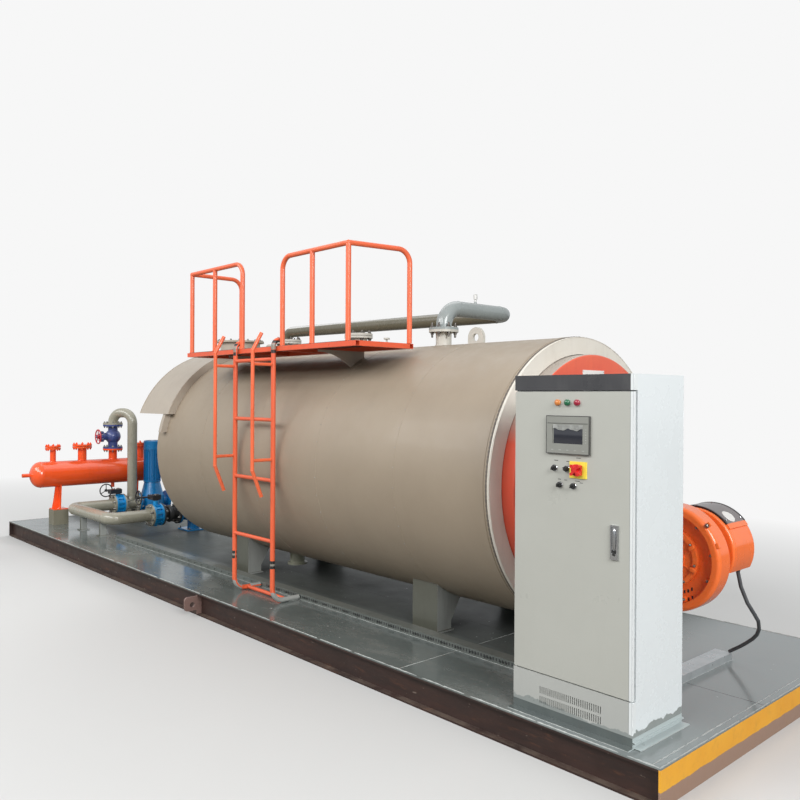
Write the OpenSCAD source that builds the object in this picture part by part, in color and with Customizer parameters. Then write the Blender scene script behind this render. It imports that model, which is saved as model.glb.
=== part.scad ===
// Skid-mounted industrial boiler with burner, control cabinet, pumps, header and service platform.
// X runs along the boiler towards the burner, Y away from the ladder side, Z up from the floor.

/* [Skid] */
// Length of the skid
skid_length = 10000; // [9900:10:10200]
// Width of the skid
skid_width = 2700; // [2680:10:2900]
// Height of the deck above the floor
skid_height = 200; // [180:5:240]
// Thickness of the deck plate
deck_thickness = 8; // [5:1:12]
// Width of the beam flanges
beam_width = 100; // [80:2:120]
// Thickness of the beam flanges
beam_flange = 12; // [8:1:16]
// Thickness of the beam webs
beam_web = 9; // [6:1:12]
// Number of cross beams
cross_beam_count = 10; // [9:1:12]

/* [Boiler] */
// Outer radius of the boiler casing
shell_radius = 1020; // [1000:5:1040]
// Height of the boiler centre line
shell_height = 1395; // [1380:5:1420]
// Thickness of the casing, insulation and shell wall
shell_wall = 80; // [60:5:120]
// Rear end of the casing along X
shell_rear = -1050; // [-1100:5:-1000]
// Front end of the casing along X
shell_front = 3615; // [3600:5:3640]
// Width of the front ring
ring_width = 125; // [112:1:127]
// Gap between the furnace door and the front ring
door_clearance = 4; // [3:1:30]
// Distance that the furnace door stands out of the front ring
door_proud = 105; // [80:1:120]
// Width of a leg along the boiler
leg_width = 270; // [220:5:300]
// Distance from the boiler centre to each pair of legs
leg_offset = 1330; // [1200:10:1400]

/* [Platform] */
// Length of the platform
platform_length = 2660; // [2560:10:2760]
// Width of the platform
platform_width = 600; // [580:5:640]
// Distance of the platform frame's top below the casing's top line
platform_drop = 10; // [0:1:25]
// Size of the square frame tube
frame_tube = 40; // [36:1:50]
// Height of the handrail above the platform
rail_height = 790; // [700:10:1000]
// Outer diameter of the handrail tube
rail_tube = 42; // [34:1:48]
// Distance between the ladder's side tubes
ladder_width = 620; // [560:10:700]
// Distance between two rungs
rung_spacing = 520; // [460:5:540]

/* [Cabinet] */
// Width of the control cabinet
cabinet_width = 770; // [760:2:800]
// Depth of the control cabinet
cabinet_depth = 500; // [480:5:520]
// Height of the control cabinet over its base
cabinet_height = 1848; // [1840:2:1900]
// Thickness of the cabinet's folded walls
cabinet_wall = 20; // [12:1:30]
// Thickness of the cabinet door
cabinet_door_thickness = 20; // [16:1:24]
// Height of the cabinet's base frame
cabinet_base_height = 52; // [40:1:70]

/* [Burner] */
// Radius of the fan casing
fan_radius = 330; // [315:1:340]
// Width of the fan casing
fan_width = 148; // [120:2:160]
// Radius of the burner housing
burner_radius = 258; // [245:1:270]
// Width of the burner housing
burner_width = 286; // [270:2:320]

/* [Header and pumps] */
// Outer radius of the header vessel
header_radius = 176; // [160:1:180]
// Height of the header's centre line
header_height = 893; // [880:1:920]
// Straight length of the header vessel
header_length = 1600; // [1560:10:1640]
// Outer radius of the pump suction pipe
suction_radius = 76; // [66:1:84]
// Height of the suction pipe's centre line
suction_height = 440; // [430:1:470]
// Outer radius of the upper water pipe
upper_pipe_radius = 67; // [60:1:75]
// Radius of the pump motors
motor_radius = 122; // [110:1:123]

/* [Hidden] */

$fn = 96;
large_curve = 288;
// Gap left between a piece and the curved face that carries it
seat_gap = 0.3;
// Gap round a pin that turns in its bore
pin_gap = 0.5;
half_length = skid_length / 2;
half_width = skid_width / 2;
deck_z = skid_height;
beam_height = skid_height - deck_thickness;
shell_middle = (shell_front + shell_rear) / 2;
shell_top = shell_height + shell_radius;
shell_bottom = shell_height - shell_radius;
ring_inner_radius = shell_radius - ring_width;
door_radius = ring_inner_radius - door_clearance;
ring_thickness = 15;
door_face = shell_front + door_proud;
front_plate_x = shell_front - 90;
plate_thickness = 16;

platform_left = -360;
platform_right = platform_left + platform_length;
platform_height = shell_top - platform_drop;
platform_overhang = 20;
platform_near = -shell_radius - platform_overhang;
platform_far = platform_near + platform_width;
frame_wall = 3;
rail_radius = rail_tube / 2;
rail_bend = 110;
rail_y_near = platform_near + frame_tube / 2;
rail_y_far = platform_far - frame_tube / 2;
floor_thickness = 4;
floor_top = platform_height + floor_thickness;
ladder_left = 600;
ladder_right = ladder_left + ladder_width;
gate_post_gap_left = 49;
gate_post_gap_right = 72;
middle_post_left = 498;
middle_post_right = 425;
corner_post_left = 60;
corner_post_right = 116;
far_post_shift_right = 90;
left_rail_extra = 14;
right_rail_extra = -13;
ladder_y = platform_near - rail_radius - seat_gap;
tray_near = -785;

cabinet_right = 4792;
cabinet_left = cabinet_right - cabinet_width;
cabinet_front = -1258;
cabinet_back = cabinet_front + cabinet_depth;
cabinet_bottom = deck_z + cabinet_base_height;
cabinet_top = cabinet_bottom + cabinet_height;
cabinet_body_front = cabinet_front + cabinet_door_thickness + 10;
panel_top = cabinet_bottom + 178;
band_bottom = cabinet_top - 84;
door_gap = 7;
door_bottom = panel_top + door_gap;
door_top = band_bottom - door_gap;
door_side_gap = 4;
hinge_x = cabinet_left + door_side_gap + cabinet_door_thickness / 2;
hinge_y = cabinet_front + cabinet_door_thickness / 2;
hinge_radius = 5;
cabinet_middle = (cabinet_left + cabinet_right) / 2;

fan_x = 4463;
fan_near = -320;
fan_far = fan_near + fan_width;
burner_x = 4534;
burner_drop = 358;
burner_z = shell_height - burner_drop;
fan_below_burner = 42;
fan_z = burner_z - fan_below_burner;
burner_near = -133;
burner_far = burner_near + burner_width;
burner_middle = (burner_near + burner_far) / 2;
burner_bottom = burner_z - 115;
blast_radius = 135;

header_x = -4350;
header_near = -1150;
header_far = header_near + header_length;
header_dome = 130;
header_middle = (header_near + header_far) / 2;
nozzle_near = -980;
nozzle_second = -580;
nozzle_valve = -140;
nozzle_far = 276;
header_flange_z = 1216;
header_leg_offset = 550;
pedestal_height = 205;
pedestal_width = 190;
pedestal_length = 200;

suction_y = -830;
rear_line_x = -4050;
front_line_x = -2750;
rear_valve_y = -185;
front_valve_y = -235;
valve_half = 62;
suction_flange = 142;
flange_thickness = 22;
suction_bend = 110;
rear_pump_y = 324;
front_pump_y = 300;
pump_half = 230;
gooseneck_bend = 150;
drop_y = 20;
drop_bend = 120;
globe_z = 1390;
globe_wheel_reach = 214;
rear_gear_rise = 185;
front_gear_rise = 225;
gear_shaft_reach = 190;
gear_shaft_side = 95;
gooseneck_radius = 67;
gooseneck_start_z = 1560;

// Points of the burner's flexible conduit, from the housing's underside down to the tray
conduit_points = [[4700, 120, 921.5], [4700, 120, 880], [4715, 130, 790], [4748, 150, 690], [4776, 185, 620],
    [4784, 225, 570], [4768, 275, 508], [4735, 320, 455], [4690, 362, 410], [4630, 400, 360], [4575, 430, 318],
    [4525, 450, 284], [4490, 462, 259]];
conduit_radius = 12;

// Straight round bar between two points along one axis
module bar_x(length, radius) {
    sides = radius > 500 ? large_curve : 96;
    rotate([0, 90, 0]) cylinder(h = length, r = radius, $fn = sides);
}
module bar_y(length, radius) {
    rotate([-90, 0, 0]) cylinder(h = length, r = radius);
}

// Quarter bend: starts at the origin going up and ends going towards +X
module bend(radius, bend_radius, angle = 90) {
    translate([bend_radius, 0, 0]) rotate([90, 0, 0]) rotate([0, 0, 180 - angle])
        rotate_extrude(angle = angle) translate([bend_radius, 0]) circle(r = radius);
}

// Body of the boiler casing as a cutter, a little larger than the casing
module shell_cutter() {
    translate([shell_rear - 600, 0, shell_height])
        bar_x(shell_front - shell_rear + 1200, shell_radius + seat_gap);
}

// Round flange standing on its lower face, with its ring of bolt holes where asked
module flange(radius, thickness, holes = 0) {
    difference() {
        cylinder(h = thickness, r = radius);
        if (holes > 0)
            for (i = [0 : holes - 1])
                rotate([0, 0, (i + 0.5) * 360 / holes]) translate([radius * 0.84, 0, -1])
                    cylinder(h = thickness + 2, r = radius * 0.07, $fn = 24);
    }
}

// I section on its side edge, in the plane of X and Y
module beam_section() {
    translate([-beam_width / 2, 0]) square([beam_width, beam_flange]);
    translate([-beam_width / 2, beam_height - beam_flange]) square([beam_width, beam_flange]);
    translate([-beam_web / 2, 0]) square([beam_web, beam_height]);
}

module skid_side_beams() {
    color("#4a3029")
        for (side = [-1, 1])
            translate([-half_length + beam_flange, side * (half_width - beam_width / 2), 0]) rotate([90, 0, 90])
                linear_extrude(height = skid_length - 2 * beam_flange) beam_section();
}

module skid_cross_beams() {
    inner_width = skid_width - 2 * beam_width;
    pitch = (skid_length - 2 * beam_width) / (cross_beam_count + 1);
    color("#4a3029") {
        for (i = [1 : cross_beam_count])
            translate([-half_length + beam_width + i * pitch, inner_width / 2, 0]) rotate([90, 0, 0])
                linear_extrude(height = inner_width) beam_section();
        end_beam(-1);
    }
}

// Channel across one end of the skid, with its web outwards
module end_beam(side) {
    inner_width = skid_width - 2 * beam_width;
    scale_x = side * half_length;
    translate([side > 0 ? scale_x - beam_flange : scale_x, -half_width, 0])
        cube([beam_flange, skid_width, beam_height]);
    for (z = [0, beam_height - beam_flange])
        translate([side > 0 ? scale_x - beam_width : scale_x, -inner_width / 2, z])
            cube([beam_width, inner_width, beam_flange]);
}

module skid_front_beam() {
    color("#e0a53a") end_beam(1);
}

module deck_plate() {
    color("#6f7b78") translate([-half_length, -half_width, beam_height])
        cube([skid_length, skid_width, deck_thickness]);
}

// Side plate of one lashing lug with rounded outer corners and its hole, X outwards from the beam's web
module lashing_lug_outline() {
    reach = 120;
    plate_low = 47;
    plate_height = 125;
    corner = 32;
    hole_from_face = 47;
    hole_height = 100;
    face = beam_width / 2;
    difference() {
        union() {
            translate([beam_web / 2, beam_flange])
                square([face - beam_web / 2, beam_height - 2 * beam_flange]);
            translate([face - 1, plate_low]) square([reach - corner + 1, plate_height]);
            translate([face, plate_low + corner]) square([reach, plate_height - 2 * corner]);
            for (z = [plate_low + corner, plate_low + plate_height - corner])
                translate([face + reach - corner, z]) circle(r = corner);
        }
        translate([face + hole_from_face, hole_height]) circle(r = 24);
    }
}

module lashing_lugs() {
    lug_x = 430;
    lug_thickness = 22;
    color("#6d4238")
        for (side = [-1, 1])
            translate([lug_x, side * (half_width - beam_width / 2), 0])
                rotate([90, 0, side > 0 ? 90 : -90]) translate([0, 0, -lug_thickness / 2])
                    linear_extrude(height = lug_thickness) lashing_lug_outline();
}

module boiler_shell() {
    color("#b9b3a4")
        difference() {
            translate([shell_rear, 0, shell_height])
                bar_x(shell_front - ring_thickness - shell_rear, shell_radius);
            translate([shell_rear - 1, 0, shell_height])
                bar_x(shell_front - shell_rear + 2, shell_radius - shell_wall);
        }
}

module front_ring() {
    color("#e8e2d2") translate([shell_front - ring_thickness, 0, shell_height]) rotate([0, 90, 0])
        rotate_extrude()
            polygon([[ring_inner_radius, 0], [shell_radius, 0], [shell_radius, ring_thickness - 6],
                [shell_radius - 6, ring_thickness], [ring_inner_radius, ring_thickness]]);
}

module front_plate() {
    color("#8d4a38") translate([front_plate_x - plate_thickness, 0, shell_height])
        bar_x(plate_thickness, shell_radius - shell_wall - seat_gap);
}

module furnace_door() {
    depth = door_face - front_plate_x;
    edge = 14;
    color("#e5502d") translate([front_plate_x, 0, shell_height]) rotate([0, 90, 0])
        rotate_extrude()
            union() {
                square([door_radius, depth - edge]);
                square([door_radius - edge, depth]);
                translate([door_radius - edge, depth - edge]) circle(r = edge, $fn = 48);
            }
}

module rear_plate() {
    color("#a9a292") translate([shell_rear - plate_thickness, 0, shell_height]) rotate([0, 90, 0])
        cylinder(h = plate_thickness, r = shell_radius);
}

// Arched sheet over the rear end with the flanged flue outlet on top and two lap strips below it
module rear_hood() {
    hood_rear = -1500;
    hood_front = -820;
    hood_outer = shell_radius + 72;
    hood_sheet = 12;
    hood_low = shell_height + 390;
    collar_width = 30;
    flue_x = -1080;
    flue_radius = 225;
    flue_flange_radius = 270;
    flue_top = shell_top + 196;
    strip_rear = -950;
    strip_width = 60;
    strip_length = 190;
    color("#c3bcab") {
        difference() {
            union() {
                intersection() {
                    translate([hood_rear, 0, shell_height]) bar_x(hood_front - hood_rear, hood_outer);
                    translate([hood_rear - 10, -2000, hood_low])
                        cube([hood_front - hood_rear + 20, 4000, 2000]);
                }
                translate([flue_x, 0, shell_height + 900])
                    cylinder(h = flue_top - shell_height - 900, r = flue_radius);
                translate([flue_x, 0, flue_top - 20]) cylinder(h = 20, r = flue_flange_radius);
            }
            translate([hood_rear - 1, 0, shell_height])
                bar_x(hood_front - collar_width - hood_rear + 1, hood_outer - hood_sheet);
            shell_cutter();
            translate([flue_x, 0, shell_height + 800]) cylinder(h = 1000, r = flue_radius - 12);
        }
        intersection() {
            difference() {
                translate([strip_rear, 0, shell_height]) bar_x(strip_width, hood_outer - hood_sheet + 2);
                shell_cutter();
            }
            for (side = [-1, 1])
                translate([strip_rear - 1, side > 0 ? 0 : -2000, hood_low - strip_length])
                    cube([strip_width + 2, 2000, strip_length + 20]);
        }
    }
}

// One leg under the casing, wider at its top, standing on the deck
module boiler_leg() {
    leg_outer = 600;
    leg_foot = 150;
    leg_top = 330;
    leg_step = 60;
    base_thickness = 12;
    base_margin = 15;
    leg_rise = shell_height - sqrt(pow(shell_radius, 2) - pow(leg_outer, 2)) - deck_z - base_thickness;
    difference() {
        union() {
            translate([-leg_width / 2, 0, deck_z + base_thickness]) rotate([90, 0, 90])
                linear_extrude(height = leg_width)
                    polygon([[-leg_outer, 0], [-leg_outer + leg_foot, 0], [-leg_outer + leg_foot, leg_step],
                        [-leg_outer + leg_top, leg_rise], [-leg_outer, leg_rise]]);
            translate([-leg_width / 2 - base_margin, -leg_outer - base_margin, deck_z])
                cube([leg_width + 2 * base_margin, leg_foot + 2 * base_margin, base_thickness]);
        }
        translate([-shell_middle, 0, 0]) shell_cutter();
    }
}

module boiler_legs() {
    color("#8f9488")
        for (end = [-1, 1])
            for (side = [0, 1])
                translate([shell_middle + end * leg_offset, 0, 0]) mirror([0, side, 0]) boiler_leg();
}

// Flanged nozzle on top of the casing, cut to sit on it
module nozzle(x, y, radius, flange_radius, top, pair = true) {
    thickness = flange_radius > 80 ? 20 : 14;
    difference() {
        union() {
            translate([x, y, shell_height + shell_radius - 200]) cylinder(h = top - shell_height
                - shell_radius + 200 - thickness, r = radius);
            translate([x, y, top - thickness]) cylinder(h = thickness, r = flange_radius);
            if (pair) translate([x, y, top - 2 * thickness - 4]) cylinder(h = thickness, r = flange_radius);
        }
        shell_cutter();
    }
}

outlet_x = 2210;
outlet_flange_top = shell_top + 133;
outlet_flange_radius = 126;
supply_nozzle_x = 1071;
rear_nozzle_x = -100;
nozzle_flange_radius = 135;
nozzle_pipe_radius = 84;
nozzle_top = shell_top + 165;
vent_stub_x = 1478;
vent_stub_top = shell_top + 105;

module top_nozzles() {
    color("#cfc8b8") {
        nozzle(outlet_x, 0, upper_pipe_radius, outlet_flange_radius, outlet_flange_top, false);
        nozzle(supply_nozzle_x, 0, nozzle_pipe_radius, nozzle_flange_radius, nozzle_top);
        nozzle(rear_nozzle_x, 0, nozzle_pipe_radius, nozzle_flange_radius, nozzle_top);
        nozzle(vent_stub_x, 0, 9, 28, vent_stub_top, false);
    }
}

module bottom_neck() {
    neck_x = 250;
    neck_y = -120;
    neck_radius = 75;
    neck_flange = 100;
    neck_thickness = 20;
    neck_reach = (shell_bottom - deck_z) * 0.6;
    color("#9a9a8c")
        difference() {
            translate([neck_x, neck_y, shell_bottom - neck_reach]) {
                cylinder(h = neck_reach + neck_radius, r = neck_radius);
                cylinder(h = neck_thickness, r = neck_flange);
            }
            shell_cutter();
        }
}

// Upright lifting plate with a hole, standing on the top line of the casing
module lifting_lug(x, y, width, height, thickness, hole) {
    difference() {
        translate([x, y + thickness / 2, 0]) rotate([90, 0, 0]) linear_extrude(height = thickness)
            difference() {
                union() {
                    translate([-width / 2, shell_height + shell_radius - 60])
                        square([width, height + 60 - width / 2]);
                    translate([0, shell_height + shell_radius + height - width / 2]) circle(r = width / 2);
                }
                translate([0, shell_height + shell_radius + height - width / 2]) circle(r = hole);
            }
        shell_cutter();
    }
}

front_lug_x = 2585;
rear_lug_x = -468;

module lifting_lugs() {
    color("#bcb6a6")
        for (x = [front_lug_x, rear_lug_x])
            lifting_lug(x, 0, 168, 135, 24, 32);
}

upper_bend = 170;
upper_run_y = 880;
upper_rear = -1450;
vent_y = 398;
pipe_slope = 0.75;

// Outlet elbow, pipe across the boiler, bend and long run rising to the rear, ending in a bend down
module upper_pipe() {
    upper_z = outlet_flange_top + 24 + upper_bend;
    rear_x = upper_rear - outlet_x;
    weld_bead = 2;
    color("#a9b0ac") {
        translate([outlet_x, 0, outlet_flange_top]) {
            flange(outlet_flange_radius, 20, 8);
            cylinder(h = 24, r = upper_pipe_radius);
        }
        translate([outlet_x, 0, outlet_flange_top + 24]) rotate([0, 0, 90])
            bend(upper_pipe_radius, upper_bend);
        translate([outlet_x, upper_bend, upper_z]) bar_y(upper_run_y - 2 * upper_bend, upper_pipe_radius);
        translate([outlet_x, upper_run_y - upper_bend - 2 * weld_bead, upper_z])
            bar_y(4 * weld_bead, upper_pipe_radius + weld_bead);
        translate([outlet_x, upper_run_y - upper_bend, upper_z]) rotate([0, pipe_slope, 0]) {
            rotate([-90, 0, 0]) rotate([0, 0, 180]) bend(upper_pipe_radius, upper_bend);
            translate([rear_x + upper_bend, upper_bend, 0])
                bar_x(-rear_x - 2 * upper_bend, upper_pipe_radius);
            translate([rear_x, upper_bend, -upper_bend]) {
                bend(upper_pipe_radius, upper_bend);
                translate([0, 0, -60]) cylinder(h = 60, r = upper_pipe_radius);
                translate([0, 0, -80]) flange(outlet_flange_radius, 20, 8);
            }
        }
        translate([outlet_x, vent_y, upper_z]) cylinder(h = 105, r = 12);
        translate([outlet_x, vent_y, upper_z + 105]) cylinder(h = 40, r = 18);
    }
}

// Square tube along X with open ends
module frame_bar_x(length) {
    difference() {
        cube([length, frame_tube, frame_tube]);
        translate([-1, frame_wall, frame_wall])
            cube([length + 2, frame_tube - 2 * frame_wall, frame_tube - 2 * frame_wall]);
    }
}

module platform_frame() {
    bottom = platform_height - frame_tube;
    color("#e4562f") {
        for (y = [platform_near, platform_far - frame_tube])
            translate([platform_left, y, bottom]) frame_bar_x(platform_length);
        for (x = [platform_left, ladder_left - frame_tube, ladder_right, platform_right - frame_tube])
            translate([x, platform_near + frame_tube, bottom])
                cube([frame_tube, platform_width - 2 * frame_tube, frame_tube]);
    }
}

module platform_floor() {
    color("#77706a")
        translate([platform_left + frame_tube, platform_near + 4, platform_height])
            cube([platform_length - 2 * frame_tube, platform_width - 8, floor_thickness]);
}

// Gusset plate across the platform, hollowed on its outer edge and cut to sit on the casing
module platform_bracket(x) {
    plate = 14;
    bottom = platform_height - frame_tube;
    lip_point = [platform_near + 110, bottom - 18];
    tip_point = [platform_near + 450, bottom - 137];
    far_y = platform_far - 2;
    hollow_radius = 500;
    chord = tip_point - lip_point;
    below = [chord[1], -chord[0]] / norm(chord);
    hollow_middle = (lip_point + tip_point) / 2 + below * sqrt(pow(hollow_radius, 2) - pow(norm(chord) / 2, 2));
    difference() {
        translate([x - plate / 2, 0, 0]) rotate([90, 0, 90]) linear_extrude(height = plate)
            difference() {
                polygon([[lip_point[0], bottom], lip_point, tip_point, [far_y, tip_point[1]], [far_y, bottom]]);
                translate(hollow_middle) circle(r = hollow_radius, $fn = large_curve);
            }
        shell_cutter();
    }
}

module platform_brackets() {
    bracket_inset = 620;
    color("#b9b3a4")
        for (x = [platform_left + bracket_inset, platform_right - bracket_inset])
            platform_bracket(x);
}

// Upright post of the handrail
module rail_post(height) {
    cylinder(h = height, r = rail_radius);
}

// Near rail with one bent end, and an end rail across the platform with its bent far post
module railing(gate_x, middle_x, corner_x, far_shift, direction, height) {
    post = height - rail_radius - floor_thickness;
    rail_z = floor_top + post;
    run = abs(corner_x - gate_x) - rail_bend;
    end_run = rail_y_far - rail_y_near;
    end_length = norm([far_shift, end_run]);
    translate([gate_x, rail_y_near, floor_top]) {
        rail_post(post - rail_bend);
        translate([0, 0, post - rail_bend]) rotate([0, 0, direction > 0 ? 0 : 180])
            bend(rail_radius, rail_bend);
    }
    translate([direction > 0 ? gate_x + rail_bend : corner_x, rail_y_near, rail_z]) bar_x(run, rail_radius);
    for (x = [middle_x, corner_x])
        translate([x, rail_y_near, floor_top]) rail_post(post);
    translate([corner_x, rail_y_near, rail_z]) sphere(r = rail_radius + 1);
    translate([corner_x, rail_y_near, 0]) rotate([0, 0, -atan2(far_shift, end_run)]) {
        translate([0, 0, rail_z]) bar_y(end_length - rail_bend, rail_radius);
        translate([0, end_length, floor_top]) {
            rail_post(post - rail_bend);
            translate([0, 0, post - rail_bend]) rotate([0, 0, -90]) bend(rail_radius, rail_bend);
        }
    }
}

module left_railing() {
    gate_x = ladder_left + gate_post_gap_left;
    color("#e4562f")
        railing(gate_x, gate_x - middle_post_left, platform_left + corner_post_left, 0, -1,
            rail_height + left_rail_extra);
}

module right_railing() {
    gate_x = ladder_right + gate_post_gap_right;
    color("#e4562f")
        railing(gate_x, gate_x + middle_post_right, platform_right - corner_post_right,
            far_post_shift_right, 1, rail_height + right_rail_extra);
}

foot_bend = 110;
foot_clearance = 6;
foot_length = tray_near - foot_clearance - ladder_y;
first_rung = 735;
rung_count = 4;
rung_radius = rail_radius * 0.8;

module ladder() {
    foot_z = deck_z + rail_radius;
    top_bend = 60;
    top_end = 14;
    top_z = platform_height - 2;
    color("#e4562f") {
        for (x = [ladder_left, ladder_right]) {
            translate([x, ladder_y, foot_z + foot_bend])
                cylinder(h = top_z - foot_z - foot_bend, r = rail_radius);
            translate([x, ladder_y, top_z]) rotate([0, 0, 90]) bend(rail_radius, top_bend);
            translate([x, ladder_y + top_bend, top_z + top_bend]) bar_y(top_end, rail_radius);
            translate([x, ladder_y, foot_z + foot_bend]) rotate([0, 0, 90]) rotate([0, 180, 0])
                mirror([1, 0, 0]) bend(rail_radius, foot_bend);
            translate([x, ladder_y + foot_bend, foot_z]) bar_y(foot_length - foot_bend, rail_radius);
        }
        for (i = [0 : rung_count - 1])
            translate([ladder_left, ladder_y, first_rung + i * rung_spacing]) bar_x(ladder_width, rung_radius);
        translate([ladder_left, ladder_y + foot_bend + 30, foot_z]) bar_x(ladder_width, rung_radius);
    }
}

// Grab rail outside one ladder tube, leaning in at both ends
module grab_rail(x) {
    offset_y = 205;
    grab_radius = 16;
    low = platform_height - 1052;
    high = platform_height - 41;
    lean_high = 30;
    lean_low = 22;
    end_high = 170;
    end_low = 242;
    arm_low = 84;
    arm_high = 116;
    arm_length = offset_y - rail_radius - seat_gap;
    translate([x, ladder_y - offset_y, low]) {
        cylinder(h = high - low, r = grab_radius);
        for (z = [arm_low, high - low - arm_high])
            translate([0, 0, z]) bar_y(arm_length, grab_radius - 2);
        sphere(r = grab_radius + 1);
        rotate([180 + lean_low, 0, 0]) cylinder(h = end_low, r = grab_radius);
        translate([0, 0, high - low]) {
            sphere(r = grab_radius + 1);
            rotate([-lean_high, 0, 0]) cylinder(h = end_high, r = grab_radius);
        }
    }
}

module grab_rails() {
    color("#e4562f")
        for (x = [ladder_left, ladder_right])
            grab_rail(x);
}

module cabinet_body() {
    opening_side = 30;
    color("#e6e8e6")
        difference() {
            translate([cabinet_left, cabinet_body_front, cabinet_bottom])
                cube([cabinet_width, cabinet_back - cabinet_body_front, cabinet_height]);
            translate([cabinet_left + cabinet_wall, cabinet_body_front + cabinet_wall,
                cabinet_bottom + cabinet_wall])
                cube([cabinet_width - 2 * cabinet_wall,
                    cabinet_back - cabinet_body_front - 2 * cabinet_wall, cabinet_height - 2 * cabinet_wall]);
            translate([cabinet_left + opening_side, cabinet_body_front - 1, door_bottom + 20])
                cube([cabinet_width - 2 * opening_side, cabinet_wall + 2, door_top - door_bottom - 40]);
        }
}

// Header band over the door and louvred panel below it, each with one of the door's pivots
module cabinet_fronts() {
    depth = cabinet_body_front - cabinet_front;
    slot_count = 30;
    slot_pitch = 13.5;
    slot_width = 6;
    slot_height = 40;
    slot_start = cabinet_middle - slot_pitch * (slot_count - 1) / 2;
    color("#c9ccc9") {
        translate([cabinet_left, cabinet_front, band_bottom])
            cube([cabinet_width, depth, cabinet_top - band_bottom]);
        difference() {
            translate([cabinet_left, cabinet_front, cabinet_bottom])
                cube([cabinet_width, depth, panel_top - cabinet_bottom]);
            for (row = [0, 1])
                for (i = [0 : slot_count - 1])
                    translate([slot_start + i * slot_pitch - slot_width / 2, cabinet_front - 1,
                        cabinet_bottom + 16 + row * (slot_height + 14)])
                        cube([slot_width, depth - 6, slot_height]);
        }
        translate([hinge_x, hinge_y, panel_top - 1]) cylinder(h = 25, r = hinge_radius);
        translate([hinge_x, hinge_y, band_bottom - 24]) cylinder(h = 25, r = hinge_radius);
    }
}

// Base frame of angle steel round the cabinet's foot, flanges outwards on the deck
module cabinet_base() {
    leg = 8;
    flange_reach = 46;
    color("#7f8b87")
        difference() {
            union() {
                translate([cabinet_left, cabinet_front, deck_z])
                    cube([cabinet_width, cabinet_depth, cabinet_base_height]);
                translate([cabinet_left - 6, cabinet_front - flange_reach, deck_z])
                    cube([cabinet_width + 12, flange_reach, 6]);
                translate([cabinet_right, cabinet_front, deck_z]) cube([flange_reach, cabinet_depth, 6]);
                translate([cabinet_right, cabinet_front, deck_z + 26]) cube([12, cabinet_depth, 6]);
            }
            translate([cabinet_left + leg, cabinet_front + leg, deck_z - 1])
                cube([cabinet_width - 2 * leg, cabinet_depth - 2 * leg, cabinet_base_height + 2]);
        }
}

latch_x = 4683;
latch_z = 1141;

module cabinet_door() {
    color("#b4b7b2")
        difference() {
            translate([cabinet_left + door_side_gap, cabinet_front, door_bottom])
                cube([cabinet_width - 2 * door_side_gap, cabinet_door_thickness, door_top - door_bottom]);
            for (z = [door_bottom - 1, door_top - 20])
                translate([hinge_x, hinge_y, z]) cylinder(h = 21, r = hinge_radius + pin_gap);
            // Recess behind the latch handle
            translate([latch_x - 18, cabinet_front - 1, latch_z + 9]) cube([36, 9, 150]);
        }
}

module screen_unit() {
    left = 4257;
    width = 273;
    low = 1674;
    height = 200;
    proud = 14;
    color("#8a8c86")
        difference() {
            translate([left, cabinet_front - proud, low]) cube([width, proud, height]);
            translate([left + 38, cabinet_front - proud - 1, low + 52]) cube([width - 76, 5, height - 108]);
        }
}

module front_button(x, z, radius, length) {
    translate([x, cabinet_front, z]) rotate([90, 0, 0]) {
        cylinder(h = 5, r = radius + 4, $fn = 48);
        cylinder(h = length, r = radius, $fn = 48);
    }
}

module indicator_lamps() {
    first_lamp_x = 4321;
    lamp_pitch = 62;
    lamp_z = 1949;
    color("#e8902c")
        for (i = [0 : 2])
            front_button(first_lamp_x + i * lamp_pitch, lamp_z, 10, 16);
}

module control_knobs() {
    upper_knobs_x = [4304, 4384];
    lower_knobs_x = [4340, 4429];
    upper_knobs_z = 1590;
    lower_knobs_z = 1500;
    color("#2a2a2a") {
        for (x = upper_knobs_x)
            front_button(x, upper_knobs_z, 11, 24);
        for (x = lower_knobs_x)
            front_button(x, lower_knobs_z, 11, 24);
    }
}

isolator_x = 4458;
isolator_z = 1588;

module isolator_plate() {
    plate_thick = 6;
    color("#f0c419")
        difference() {
            translate([isolator_x - 54, cabinet_front - plate_thick, isolator_z - 45])
                cube([108, plate_thick, 90]);
            translate([isolator_x, cabinet_front + 1, isolator_z]) rotate([90, 0, 0])
                cylinder(h = plate_thick + 2, r = 8 + pin_gap);
        }
}

module isolator_handle() {
    color("#c8202a") translate([isolator_x, cabinet_front - 12, isolator_z]) rotate([90, 0, 0]) {
        translate([0, 0, -12 + seat_gap]) cylinder(h = 13, r = 8);
        cylinder(h = 12, r = 32);
        for (a = [0, 90])
            rotate([0, 0, a + 45]) translate([-30, -7, 10]) cube([60, 14, 18]);
        for (i = [0 : 3])
            rotate([0, 0, i * 90 + 45]) translate([30, 0, 0]) cylinder(h = 28, r = 9);
    }
}

module door_handle() {
    handle_width = 46;
    handle_height = 178;
    handle_depth = 10;
    handle_rim = 8;
    recess_height = 120;
    color("#c9ccd0")
        translate([latch_x - handle_width / 2, cabinet_front - handle_depth, latch_z])
            difference() {
                cube([handle_width, handle_depth, handle_height]);
                translate([handle_rim, -1, handle_height - handle_rim - recess_height - 2 * handle_rim])
                    cube([handle_width - 2 * handle_rim, handle_depth / 2, recess_height + 2 * handle_rim]);
            }
}

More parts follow.
